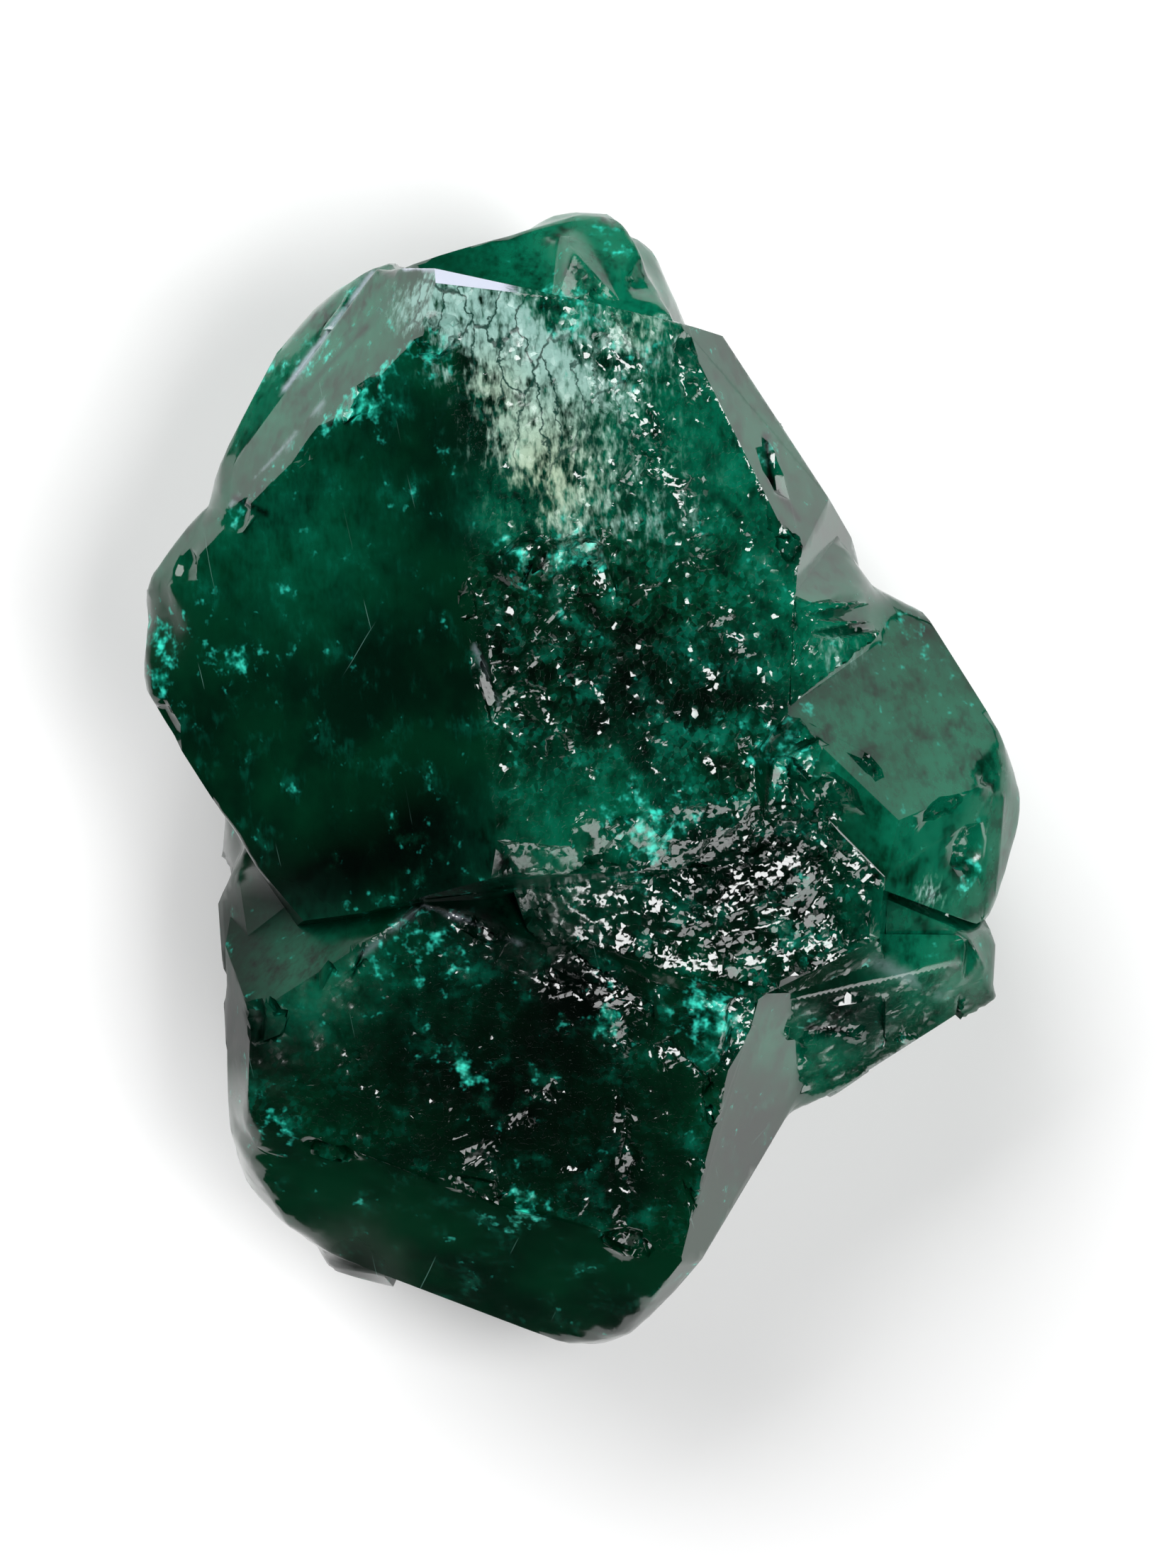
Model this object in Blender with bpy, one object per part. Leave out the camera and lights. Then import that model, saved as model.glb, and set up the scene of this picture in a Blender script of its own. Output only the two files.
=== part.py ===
"""A dioptase specimen: green crystals grown together, broken flat below, built as one closed solid.

The specimen lies on its broken back. +X is its right side, +Y its top end and +Z faces the viewer.
Each crystal is a block that flat faces cut down. A face is given by a point that it passes through,
by the bearing that it looks toward (degrees counter-clockwise from +X, seen from above) and by its
tilt (degrees between its outward normal and straight up). All sizes are in millimetres until the
last step, which writes the mesh in metres.
"""
import math
from typing import NamedTuple

import bmesh
import bpy
from mathutils import Matrix, Vector, noise
from mathutils.bvhtree import BVHTree

MM = 0.001

# Overall sizes of the specimen
RIDGE_HEIGHT = 16.5
BLOCK = 80.0
PIECE_NAME = "dioptase_crystals"
SPLIT_ROUNDS = 12

# Corner points that several faces share
APEX = (-4.1, 11.6, RIDGE_HEIGHT)
RIGHT_SHOULDER = (6.0, 5.1, 12.3)
LOWER_LEFT_END = (-7.1, -3.8, 12.8)
CREST = (-4.1, -3.2, 14.2)
RIGHT_APEX = (8.3, -1.0, 12.5)


class Face(NamedTuple):
    """One flat crystal face: a point on it, the bearing it looks toward, and its tilt."""

    point: tuple
    bearing: float
    tilt: float

    def normal(self):
        """The outward direction of the face."""
        bearing = math.radians(self.bearing)
        tilt = math.radians(self.tilt)
        across = math.sin(tilt)
        return Vector((across * math.cos(bearing), across * math.sin(bearing), math.cos(tilt)))


ROUGH_RIGHT_FACE = Face(APEX, 9, 25.3)
FRONT_FACE = Face(CREST, 266, 17)
SLOPE_TO_FRACTURE = Face((2.6, -0.5, 14.3), 330, 32)
FRACTURE_FACE = Face((3.0, -2.0, 13.2), 345, 9)
LOWER_RIGHT_SLOPE = Face((6.7, -5.3, 11.3), 300, 45)
TOP_FACE = Face((0.5, 13.5, 12.4), 80, 18)

MAIN_CRYSTAL = [
    Face(APEX, 188, 36),
    ROUGH_RIGHT_FACE,
    Face(APEX, 158.5, 54.6),
    Face((-3.9, 12.95, 16.3), 51, 40),
    Face(RIGHT_SHOULDER, 22, 60),
    Face((5.5, 3.0, 12.6), 358, 72),
    SLOPE_TO_FRACTURE,
    Face((-7.1, -3.78, 12.9), 278, 80),
    Face((-3.9, -3.3, 14.2), 272, 82),
    Face(LOWER_LEFT_END, 215, 75),
    Face((-7.3, -4.0, 12.0), 215, 97),
    Face((-11.6, 3.3, 10.0), 180, 100),
    Face((-9.9, 7.3, 11.1), 140, 98),
    Face((-4.4, 13.4, 15.8), 80, 94),
    Face((7.75, 5.6, 9.0), 34, 91),
    Face((7.75, 5.6, 8.0), 34, 102),
    Face((0.0, -6.0, 9.0), 270, 95),
]

LOWER_CRYSTAL = [
    FRONT_FACE,
    Face(CREST, 130, 55),
    Face(CREST, 68, 50),
    Face((-4.9, -9.7, 12.4), 256, 46),
    Face((4.1, -6.3, 13.5), 337, 62),
    Face((-8.8, -8.5, 12.2), 182, 76),
    Face((-7.5, -12.2, 9.0), 222, 75),
    Face((-4.1, -13.4, 8.6), 248, 97),
    Face((1.9, -14.2, 8.6), 305, 72),
    Face((0.4, -15.0, 8.0), 275, 95),
    Face((3.3, -12.0, 9.0), 327, 97),
    Face((-9.1, -9.8, 9.0), 180, 99),
    Face((-7.4, -12.1, 9.0), 222, 99),
    Face((0.0, 0.0, 9.0), 90, 90),
]

RIGHT_CRYSTAL = [
    Face(RIGHT_APEX, 42, 40),
    Face(RIGHT_APEX, 253, 8),
    Face(RIGHT_APEX, 339, 47),
    Face((11.3, 0.9, 9.6), 31, 97),
    Face((11.3, -0.6, 9.3), 350, 72),
    Face((11.6, -0.6, 8.0), 350, 98),
    Face((10.9, -3.3, 8.5), 325, 97),
    Face((2.0, 0.0, 8.5), 180, 90),
    Face((8.2, 5.0, 9.0), 60, 97),
    Face((5.4, 3.0, 12.0), 125, 80),
    Face((8.6, -2.8, 9.0), 243, 96),
]

LOWER_RIGHT_CRYSTAL = [
    LOWER_RIGHT_SLOPE,
    Face((7.9, -4.4, 10.9), 340, 20),
    Face((8.1, -7.3, 9.0), 303, 99),
    Face((5.6, -8.8, 9.0), 270, 99),
    Face((9.8, -5.6, 8.0), 355, 97),
    Face((0.0, -4.1, 8.0), 90, 92),
    Face((1.0, 0.0, 8.0), 180, 90),
]

POCKET_FLOOR = [
    Face((8.5, -3.4, 9.6), 320, 10),
    Face((9.6, -3.4, 9.0), 0, 100),
    Face((0.0, -5.0, 9.0), 270, 100),
    Face((0.0, -1.0, 9.0), 90, 90),
    Face((6.0, 0.0, 9.0), 180, 90),
]

TOP_CRYSTAL = [
    TOP_FACE,
    Face((-1.5, 13.4, 10.6), 150, 62),
    Face((-0.1, 14.8, 10.4), 92, 66),
    Face((1.1, 13.85, 10.6), 48, 64),
    Face((2.3, 13.0, 10.6), 5, 74),
    Face((0.0, 15.1, 9.6), 90, 128),
    Face((2.6, 13.0, 9.6), 20, 112),
    Face((-2.0, 14.0, 9.6), 160, 112),
    Face((0.0, 9.0, 9.0), 270, 90),
]

SADDLE_CRYSTAL = [
    Face((-3.0, 13.6, 11.6), 95, 38),
    Face((-2.6, 14.1, 10.8), 108, 96),
    Face((-5.4, 13.5, 10.0), 150, 98),
    Face((2.0, 12.0, 10.0), 20, 98),
    Face((0.0, 11.8, 9.0), 270, 90),
]

LEFT_BACK_CRYSTAL = [
    Face((-7.8, 9.8, 12.0), 150, 47),
    Face((-8.9, 9.4, 10.6), 153, 96),
    Face((-7.4, 12.0, 10.4), 141, 96),
    Face((-4.9, 13.5, 10.8), 112, 96),
    Face((-9.7, 7.5, 9.5), 225, 92),
    Face((-6.6, 9.2, 9.0), 320, 90),
    Face((-4.8, 0.0, 9.0), 0, 90),
    Face((0.0, 5.0, 9.0), 270, 90),
]

SMALL_LEFT_CRYSTALS = [
    [
        Face((-8.6, -1.6, 10.2), 170, 50),
        Face((-8.6, -1.6, 10.2), 20, 12),
        Face((-9.5, -1.2, 9.0), 170, 98),
        Face((-9.2, -2.4, 9.0), 225, 96),
        Face((-5.0, 0.0, 9.0), 0, 90),
        Face((0.0, 1.0, 9.0), 90, 90),
    ],
    [
        Face((-8.8, -3.8, 10.8), 184, 66),
        Face((-8.8, -3.8, 10.8), 140, 14),
        Face((-9.5, -4.0, 9.0), 184, 98),
        Face((-9.3, -5.3, 9.0), 230, 97),
        Face((-9.2, -2.6, 9.0), 150, 97),
        Face((-5.0, 0.0, 9.0), 0, 90),
        Face((-5.5, -5.2, 9.0), 300, 90),
    ],
    [
        Face((-8.2, -6.4, 11.2), 200, 40),
        Face((-8.2, -6.4, 11.2), 100, 20),
        Face((-9.3, -6.4, 9.0), 190, 97),
        Face((-8.9, -7.4, 9.0), 235, 97),
        Face((-9.2, -5.5, 9.0), 140, 97),
        Face((-5.0, 0.0, 9.0), 0, 90),
        Face((-6.5, -8.0, 9.0), 300, 90),
    ],
]

RIGHT_LUMP = [
    Face((10.1, -4.5, 9.8), 330, 25),
    Face((10.9, -4.3, 8.8), 15, 60),
    Face((10.9, -5.2, 8.8), 335, 70),
    Face((10.2, -5.7, 8.8), 300, 70),
    Face((10.6, -3.9, 8.8), 60, 75),
    Face((11.0, -4.8, 8.0), 350, 108),
    Face((10.2, -5.8, 8.0), 300, 108),
    Face((10.6, -3.8, 8.0), 60, 108),
    Face((8.0, 0.0, 8.0), 180, 90),
]

BOTTOM_NUB = [
    Face((-6.0, -12.5, 9.0), 250, 48),
    Face((-6.0, -13.0, 8.0), 258, 80),
    Face((-6.8, -12.7, 8.0), 190, 80),
    Face((-5.1, -13.1, 8.0), 350, 80),
    Face((-6.0, -13.1, 7.2), 250, 125),
    Face((0.0, -10.0, 9.0), 90, 90),
]

FRACTURE_BLOCK = [
    FRACTURE_FACE,
    Face((8.4, -3.6, 12.0), 330, 60),
    Face((7.9, -3.4, 12.0), 355, 84),
    Face((6.3, -0.7, 12.0), 44, 80),
    Face((3.0, 1.4, 12.0), 90, 85),
    Face((4.6, -5.9, 12.0), 298, 75),
    Face((2.2, -5.8, 12.0), 262, 85),
    Face((-1.3, -4.6, 12.0), 200, 85),
]

# Growth steps between the right band and the right crystal
STEP_COUNT = 3
STEP_RISE = 0.13
STEP_TREAD = 0.5
FIRST_STEP = (6.0, 4.7, 12.4)

# The crystals are joined below the base first, each to its own depth, and then cut off flat
FIRST_BOTTOM = -2.0
BOTTOM_STEP = 0.3

# Broken faces that lead in under the cluster, all round
UNDER_COUNT = 19
UNDER_HEIGHTS = (5.4, 3.6, 6.6, 2.4, 4.6)
UNDER_TILTS = (113, 128, 106, 136)
UNDER_SWAY = 8.0

# Small whole crystals on the sides: six prism faces, and three rhombohedron faces at the tip
PRISM_SIDES = 6
TIP_FACES = 3
TIP_TILT = 51
SIDE_COUNT = 17
SIDE_HEIGHTS = (2.6, 5.2, 4.0, 6.6)
SIDE_RADII = (1.5, 1.1, 1.9, 0.9, 1.3)
SIDE_LEANS = (78, 58, 98, 70)
SIDE_REACH = 0.54


class Chip(NamedTuple):
    """A shell-shaped chip: where it is seen from above, the way its floor looks, and its size."""

    place: tuple
    bearing: float
    tilt: float
    length: float
    width: float
    depth: float
    turn: float


CHIP_SIDES = 7
CHIP_FLOOR = 0.6
CHIP_MOUTH = 2.2
CHIP_HEIGHT = 0.9
CHIP_SHAKE = 0.9
CHIPS = [
    Chip((-3.7, 11.5), 40, 14, 1.0, 0.6, 0.22, 30),
    Chip((-5.7, 10.0), 175, 44, 0.9, 0.45, 0.2, 42),
    Chip((-7.0, 8.8), 170, 44, 1.0, 0.4, 0.18, 44),
    Chip((-9.0, 6.9), 168, 44, 0.8, 0.4, 0.18, 44),
    Chip((-11.0, 4.0), 175, 55, 1.0, 0.8, 0.3, 100),
    Chip((-10.4, 5.6), 158, 50, 0.6, 0.5, 0.2, 55),
    Chip((-10.9, 1.6), 205, 60, 0.8, 0.5, 0.25, 120),
    Chip((-2.9, 4.6), 20, 6, 0.8, 0.35, 0.15, 100),
    Chip((-2.4, 2.4), 10, 4, 1.2, 0.3, 0.18, 105),
    Chip((0.2, 5.8), 300, 20, 0.8, 0.5, 0.4, 140),
    Chip((-1.4, 5.9), 350, 22, 0.8, 0.6, 0.3, 20),
    Chip((2.7, 11.3), 20, 40, 0.6, 0.4, 0.2, 115),
    Chip((5.0, 8.3), 18, 46, 0.9, 0.45, 0.25, 115),
    Chip((5.5, 6.2), 18, 44, 0.7, 0.5, 0.25, 115),
    Chip((5.3, 0.9), 330, 28, 0.8, 0.6, 0.5, 60),
    Chip((6.6, -0.3), 280, 12, 0.7, 0.5, 0.3, 140),
    Chip((7.6, 0.4), 70, 18, 0.8, 0.3, 0.15, 135),
    Chip((10.9, 0.2), 10, 42, 0.6, 0.4, 0.2, 25),
    Chip((9.5, -0.7), 355, 40, 0.8, 0.35, 0.18, 20),
    Chip((10.2, -1.8), 340, 40, 0.6, 0.5, 0.4, 70),
    Chip((4.3, -6.1), 300, 30, 1.0, 0.6, 0.35, 80),
    Chip((3.4, -8.2), 330, 38, 0.8, 0.35, 0.2, 100),
    Chip((2.9, -10.4), 325, 40, 0.7, 0.3, 0.18, 100),
    Chip((1.2, -12.1), 262, 34, 0.9, 0.5, 0.22, 160),
    Chip((-2.6, -10.7), 258, 30, 1.0, 0.5, 0.2, 160),
    Chip((-6.6, -9.7), 255, 30, 0.8, 0.4, 0.18, 165),
    Chip((-8.2, -6.3), 170, 30, 0.7, 0.5, 0.3, 40),
    Chip((-6.3, -5.0), 110, 20, 0.8, 0.4, 0.2, 40),
    Chip((-2.6, -3.9), 60, 16, 0.8, 0.35, 0.18, 155),
    Chip((-0.2, -4.9), 320, 20, 0.9, 0.7, 0.35, 150),
    Chip((1.6, 13.2), 60, 30, 0.7, 0.5, 0.25, 10),
]


def moved(point, right, up, higher):
    """A point moved by the three amounts."""
    return (point[0] + right, point[1] + up, point[2] + higher)


def growth_step(index):
    """The faces of one growth step; each reaches less far up and stands a little prouder than the last."""
    edge = moved(FIRST_STEP, 0.0, -STEP_TREAD * index, STEP_RISE * index)
    aside = 0.06 * index
    return [
        Face(edge, 341, 55),
        Face(edge, 54, 60),
        Face(moved(FIRST_STEP, 0.0, 0.0, -aside), 9, 25.3),
        Face(moved(edge, 2.0 - aside, 0.0, -3.0), 34, 97),
        Face(moved(edge, 0.0, -3.0, 0.0), 270, 90),
        Face(moved(edge, -0.4 - aside, 0.0, 0.0), 180, 90),
        Face(moved(edge, 0.0, 0.0, -5.0), 0, 180),
    ]


def cut_off(bm, face):
    """Cut everything outside one flat face off a closed mesh, and close the cut."""
    geometry = bm.verts[:] + bm.edges[:] + bm.faces[:]
    cut = bmesh.ops.bisect_plane(
        bm,
        geom=geometry,
        plane_co=Vector(face.point),
        plane_no=face.normal(),
        clear_outer=True,
        dist=1e-5,
    )
    rim = [item for item in cut["geom_cut"] if isinstance(item, bmesh.types.BMEdge)]
    if rim:
        bmesh.ops.contextual_create(bm, geom=rim)


def on_face(item, face):
    """Whether a mesh face lies in one flat crystal face."""
    normal = face.normal()
    away = (item.calc_center_median() - Vector(face.point)).dot(normal)
    return item.normal.dot(normal) > 0.9999 and abs(away) < 0.005


def broken_relief(place):
    """Height of a hackly broken crystal face at a place, in millimetres."""
    lumps = noise.noise(place * 0.55)
    flakes = abs(noise.noise(place * 0.9 + Vector((3.0, 8.0, 4.0))))
    grains = noise.noise(place * 2.1 + Vector((1.0, 5.0, 2.0)))
    return 0.14 * lumps + 0.3 * flakes + 0.06 * grains - 0.14


def shell_relief(place):
    """Height of a shell-like fracture at a place: rings about a strike point, with lumps."""
    strike = Vector((4.0, 1.5, 13.0))
    bend = 1.3 * noise.noise(place * 0.4)
    rings = abs(math.sin(2.1 * (place - strike).length + 2.0 * bend))
    return 0.22 * rings + 0.35 * noise.noise(place * 0.6) - 0.15


def patch_of(bm, face):
    """All mesh faces that lie in one flat crystal face."""
    return [item for item in bm.faces if on_face(item, face)]


def split_finely(bm, rough_faces):
    """Halve the long edges of the rough faces, the longest first, until all are short enough."""
    for _ in range(SPLIT_ROUNDS):
        lengths = {}
        for face, spacing, _ in rough_faces:
            for item in patch_of(bm, face):
                long = [edge for edge in item.edges if edge.calc_length() > spacing]
                lengths.update({edge: edge.calc_length() for edge in long})
        if not lengths:
            return
        longest = max(lengths.values())
        halved = [edge for edge, length in lengths.items() if length > 0.6 * longest]
        bmesh.ops.subdivide_edges(bm, edges=halved, cuts=1)
        for face, _, _ in rough_faces:
            quads = [item for item in patch_of(bm, face) if len(item.verts) > 3]
            bmesh.ops.triangulate(bm, faces=quads)


def roughen(bm, rough_faces):
    """Split the rough faces of a crystal finely and give their inner points a relief."""
    for face, _, _ in rough_faces:
        bmesh.ops.triangulate(bm, faces=patch_of(bm, face))
    split_finely(bm, rough_faces)
    raised = {}
    for face, _, relief in rough_faces:
        patch = set(patch_of(bm, face))
        for point in bm.verts:
            if all(item in patch for item in point.link_faces):
                raised[point] = face.normal() * relief(point.co)
    for point, lift in raised.items():
        point.co += lift


# The broken faces, each with the spacing of its points and its relief
ROUGH_FACES = [
    (ROUGH_RIGHT_FACE, 0.75, broken_relief),
    (FRONT_FACE, 0.9, broken_relief),
    (SLOPE_TO_FRACTURE, 0.6, shell_relief),
    (FRACTURE_FACE, 0.45, shell_relief),
    (LOWER_RIGHT_SLOPE, 0.6, shell_relief),
    (TOP_FACE, 0.6, broken_relief),
]


def object_of(bm, name):
    """A new object with the mesh."""
    mesh = bpy.data.meshes.new(name)
    bm.to_mesh(mesh)
    bm.free()
    piece = bpy.data.objects.new(name, mesh)
    bpy.context.scene.collection.objects.link(piece)
    return piece


def crystal(name, faces, bottom):
    """A new object with the crystal that the faces leave of a block, down to a depth."""
    bm = bmesh.new()
    bmesh.ops.create_cube(bm, size=BLOCK)
    for face in [*faces, Face((0.0, 0.0, bottom), 0, 180)]:
        cut_off(bm, face)
    bmesh.ops.recalc_face_normals(bm, faces=bm.faces[:])
    roughen(bm, [rough for rough in ROUGH_FACES if rough[0] in faces])
    return object_of(bm, name)


def whole_crystal(place, radius):
    """A small six-sided crystal with a three-faced tip, put in place by a matrix."""
    bm = bmesh.new()
    bmesh.ops.create_cube(bm, size=BLOCK / 4)
    for side in range(PRISM_SIDES):
        bearing = 360.0 * side / PRISM_SIDES
        cut_off(bm, Face(round_point(bearing, radius), bearing, 90))
    for side in range(TIP_FACES):
        cut_off(bm, Face((0.0, 0.0, 0.0), 30 + 360.0 * side / TIP_FACES, TIP_TILT))
    cut_off(bm, Face((0.0, 0.0, -3.0 * radius), 0, 180))
    bm.transform(place)
    bmesh.ops.recalc_face_normals(bm, faces=bm.faces[:])
    return object_of(bm, "whole_crystal")


def round_point(bearing, radius):
    """A point at a bearing and a distance from the origin, in plan."""
    angle = math.radians(bearing)
    return (radius * math.cos(angle), radius * math.sin(angle), 0.0)


def break_under(cluster):
    """Break the sides of the cluster off in under it, from its widest point on each bearing."""
    bm = bmesh.new()
    bmesh.ops.create_cube(bm, size=BLOCK)
    for index in range(UNDER_COUNT):
        bearing = 360.0 * index / UNDER_COUNT + UNDER_SWAY * math.sin(2.7 * index)
        height = UNDER_HEIGHTS[index % len(UNDER_HEIGHTS)]
        tilt = UNDER_TILTS[index % len(UNDER_TILTS)]
        outward = Vector(round_point(bearing, 1.0))
        reach = max(point.co.dot(outward) for point in cluster.data.vertices)
        cut_off(bm, Face(moved(outward * reach, 0.0, 0.0, height), bearing, tilt))
    bmesh.ops.recalc_face_normals(bm, faces=bm.faces[:])
    combine(cluster, object_of(bm, "broken_under"), "INTERSECT")


def grow_side_crystals(cluster):
    """Grow the small crystals on the lower sides, each tip a little out of the surface."""
    bm = bmesh.new()
    bm.from_mesh(cluster.data)
    surface = BVHTree.FromBMesh(bm)
    bm.free()
    for index in range(SIDE_COUNT):
        bearing = 360.0 * index / SIDE_COUNT + 7.0 * math.sin(2.3 * index)
        height = SIDE_HEIGHTS[index % len(SIDE_HEIGHTS)]
        radius = SIDE_RADII[index % len(SIDE_RADII)]
        lean = SIDE_LEANS[index % len(SIDE_LEANS)]
        start = Vector(moved(round_point(bearing, 2 * RIDGE_HEIGHT), 0.0, -1.0, height))
        inward = Vector((0.0, -1.0, height)) - start
        point, _, _, _ = surface.ray_cast(start, inward)
        axis = Face((0.0, 0.0, 0.0), bearing + 15 * math.cos(1.7 * index), lean).normal()
        turn = Vector((0.0, 0.0, 1.0)).rotation_difference(axis).to_matrix().to_4x4()
        spin = Matrix.Rotation(math.radians(37 * index), 4, "Z")
        tip = Matrix.Translation(point + axis * SIDE_REACH)
        combine(cluster, whole_crystal(tip @ turn @ spin, radius), "UNION")


def combine(target, tool, operation):
    """Join the tool to the target or cut it out, and remove the tool.

    The exact solver lost the main crystal here and left open edges, so the other one is used.
    """
    change = target.modifiers.new("combine", "BOOLEAN")
    change.operation = operation
    change.solver = "MANIFOLD"
    change.object = tool
    depsgraph = bpy.context.evaluated_depsgraph_get()
    result = bpy.data.meshes.new_from_object(target.evaluated_get(depsgraph))
    target.modifiers.remove(change)
    old = target.data
    target.data = result
    bpy.data.meshes.remove(old)
    bpy.data.objects.remove(tool)


def grown_together():
    """All crystals joined into one solid."""
    groups = [
        LOWER_CRYSTAL,
        RIGHT_CRYSTAL,
        LOWER_RIGHT_CRYSTAL,
        SADDLE_CRYSTAL,
        LEFT_BACK_CRYSTAL,
        *SMALL_LEFT_CRYSTALS,
        RIGHT_LUMP,
        POCKET_FLOOR,
        BOTTOM_NUB,
        FRACTURE_BLOCK,
        TOP_CRYSTAL,
        *[growth_step(index) for index in range(STEP_COUNT)],
    ]
    cluster = crystal(PIECE_NAME, MAIN_CRYSTAL, FIRST_BOTTOM)
    for order, faces in enumerate(groups):
        bottom = FIRST_BOTTOM - BOTTOM_STEP * (order + 1)
        combine(cluster, crystal("grown_on", faces, bottom), "UNION")
    return cluster


def cut_flat(cluster):
    """Cut the joined crystals off flat at the base."""
    bm = bmesh.new()
    bmesh.ops.create_cube(bm, size=BLOCK)
    bmesh.ops.translate(bm, vec=(0.0, 0.0, -BLOCK / 2), verts=bm.verts[:])
    combine(cluster, object_of(bm, "ground"), "DIFFERENCE")


def chip_cutter(surface, chip):
    """The flaring block that breaks one chip out, with its floor under the surface above its place."""
    start = Vector((chip.place[0], chip.place[1], 2 * RIDGE_HEIGHT))
    point, _, _, _ = surface.ray_cast(start, Vector((0.0, 0.0, -1.0)))
    bm = bmesh.new()
    bmesh.ops.create_cone(
        bm,
        cap_ends=True,
        segments=CHIP_SIDES,
        radius1=CHIP_FLOOR,
        radius2=CHIP_MOUTH,
        depth=CHIP_HEIGHT,
    )
    bmesh.ops.translate(bm, vec=(0.0, 0.0, CHIP_HEIGHT / 2), verts=bm.verts[:])
    for corner in bm.verts:
        shake = noise.noise(corner.co * 3.0 + point * 5.0)
        corner.co.x *= 1.0 + CHIP_SHAKE * shake
        corner.co.y *= 1.0 - CHIP_SHAKE * shake
    looks = Face((0.0, 0.0, 0.0), chip.bearing, chip.tilt).normal()
    stretch = Matrix.Diagonal((chip.length, chip.width, 1.0, 1.0))
    spin = Matrix.Rotation(math.radians(chip.turn), 4, "Z")
    lean = Vector((0.0, 0.0, 1.0)).rotation_difference(looks).to_matrix().to_4x4()
    place = Matrix.Translation(point - looks * chip.depth)
    bm.transform(place @ lean @ spin @ stretch)
    cutter = object_of(bm, "chip")
    cutter.hide_render = True
    cutter.display_type = "WIRE"
    return cutter


def break_chips(cluster):
    """Break all the chips out of the edges and faces."""
    bm = bmesh.new()
    bm.from_mesh(cluster.data)
    surface = BVHTree.FromBMesh(bm)
    bm.free()
    for chip in CHIPS:
        combine(cluster, chip_cutter(surface, chip), "DIFFERENCE")


def dioptase_material():
    """Deep emerald green crystal: glassy, a little see-through."""
    material = bpy.data.materials.new("dioptase")
    material.use_nodes = True
    shader = material.node_tree.nodes["Principled BSDF"]
    shader.inputs["Base Color"].default_value = (0.0, 0.065, 0.035, 1.0)
    shader.inputs["Roughness"].default_value = 0.12
    shader.inputs["Metallic"].default_value = 0.0
    shader.inputs["IOR"].default_value = 1.66
    return material


def shell_from(start, seen):
    """All points that hang together with a starting point."""
    shell = [start]
    seen.add(start.index)
    for point in shell:
        for edge in point.link_edges:
            other = edge.other_vert(point)
            if other.index not in seen:
                seen.add(other.index)
                shell.append(other)
    return shell


def fill_pockets(piece):
    """Keep the outer skin only, which fills the small pockets sealed in between the crystals."""
    bm = bmesh.new()
    bm.from_mesh(piece.data)
    seen = set()
    shells = [shell_from(point, seen) for point in bm.verts if point.index not in seen]
    shells.sort(key=len)
    for shell in shells[:-1]:
        bmesh.ops.delete(bm, geom=shell, context="VERTS")
    bm.to_mesh(piece.data)
    bm.free()


def to_metres(piece):
    """Scale the mesh itself from millimetres to metres."""
    bm = bmesh.new()
    bm.from_mesh(piece.data)
    bmesh.ops.scale(bm, vec=(MM, MM, MM), verts=bm.verts[:])
    bm.to_mesh(piece.data)
    bm.free()


def main():
    """Clear the scene and build the specimen."""
    for leftover in list(bpy.data.objects):
        bpy.data.objects.remove(leftover)
    cluster = grown_together()
    break_under(cluster)
    grow_side_crystals(cluster)
    cut_flat(cluster)
    break_chips(cluster)
    fill_pockets(cluster)
    to_metres(cluster)
    cluster.data.materials.append(dioptase_material())


main()
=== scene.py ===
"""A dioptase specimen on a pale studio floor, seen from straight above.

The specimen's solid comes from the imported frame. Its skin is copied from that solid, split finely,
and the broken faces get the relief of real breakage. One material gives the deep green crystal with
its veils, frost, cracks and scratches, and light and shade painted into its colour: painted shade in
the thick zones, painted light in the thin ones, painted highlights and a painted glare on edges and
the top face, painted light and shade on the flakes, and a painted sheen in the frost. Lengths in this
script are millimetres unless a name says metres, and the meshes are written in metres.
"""
import logging
import math
from dataclasses import dataclass, field
from enum import Enum

import bpy
import numpy as np
from bpy.types import ID, Material, Node, NodeSocket, NodeTree, Object
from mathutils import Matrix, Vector


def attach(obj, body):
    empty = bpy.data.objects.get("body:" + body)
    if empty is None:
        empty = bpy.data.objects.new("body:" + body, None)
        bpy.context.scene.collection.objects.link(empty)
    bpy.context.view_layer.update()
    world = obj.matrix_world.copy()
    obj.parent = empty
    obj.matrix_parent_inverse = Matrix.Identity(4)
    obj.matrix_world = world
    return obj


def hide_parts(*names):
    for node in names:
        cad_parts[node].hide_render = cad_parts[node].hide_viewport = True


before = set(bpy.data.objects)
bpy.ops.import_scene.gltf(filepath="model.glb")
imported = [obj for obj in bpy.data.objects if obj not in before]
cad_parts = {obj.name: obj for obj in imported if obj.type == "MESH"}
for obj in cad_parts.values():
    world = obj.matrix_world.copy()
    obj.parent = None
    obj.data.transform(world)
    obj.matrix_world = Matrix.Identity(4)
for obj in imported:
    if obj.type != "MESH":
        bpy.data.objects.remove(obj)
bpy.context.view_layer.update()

# Short names for types
Array = np.ndarray
Pair = tuple[float, float]
Place = tuple[float, float, float]
Colour = tuple[float, float, float, float]

LOG = logging.getLogger("dioptase")
NODE = "dioptase_crystals"

# Millimetres in a metre, and a length too small to matter
METRE = 1000.0
TINY = 1e-12

# The photo's frame: millimetres for a pixel, the pixel at the specimen's middle, and the frame's
# width and height in pixels. The scale holds at the middle height of the specimen.
PHOTO_SCALE = 0.0187
PHOTO_CENTRE = (820.0, 1103.0)
PHOTO_SIZE = (1659.0, 2212.0)
MIDDLE_HEIGHT = 9.0

# The scattered numbers: a factor for each axis, one for the seed, the shift and factor of each round
# of mixing, which keeps the low bits, and what a flake's slope adds to its seed
AXIS_FACTORS = (374761393, 668265263, 2147483629)
SEED_FACTOR = 974634777
MIXING = ((13, 1274126177), (16, 974711))
LAST_SHIFT = 15
LOW_BITS = 0xFFFFFFFF
SLOPE_SEED = 7


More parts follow.
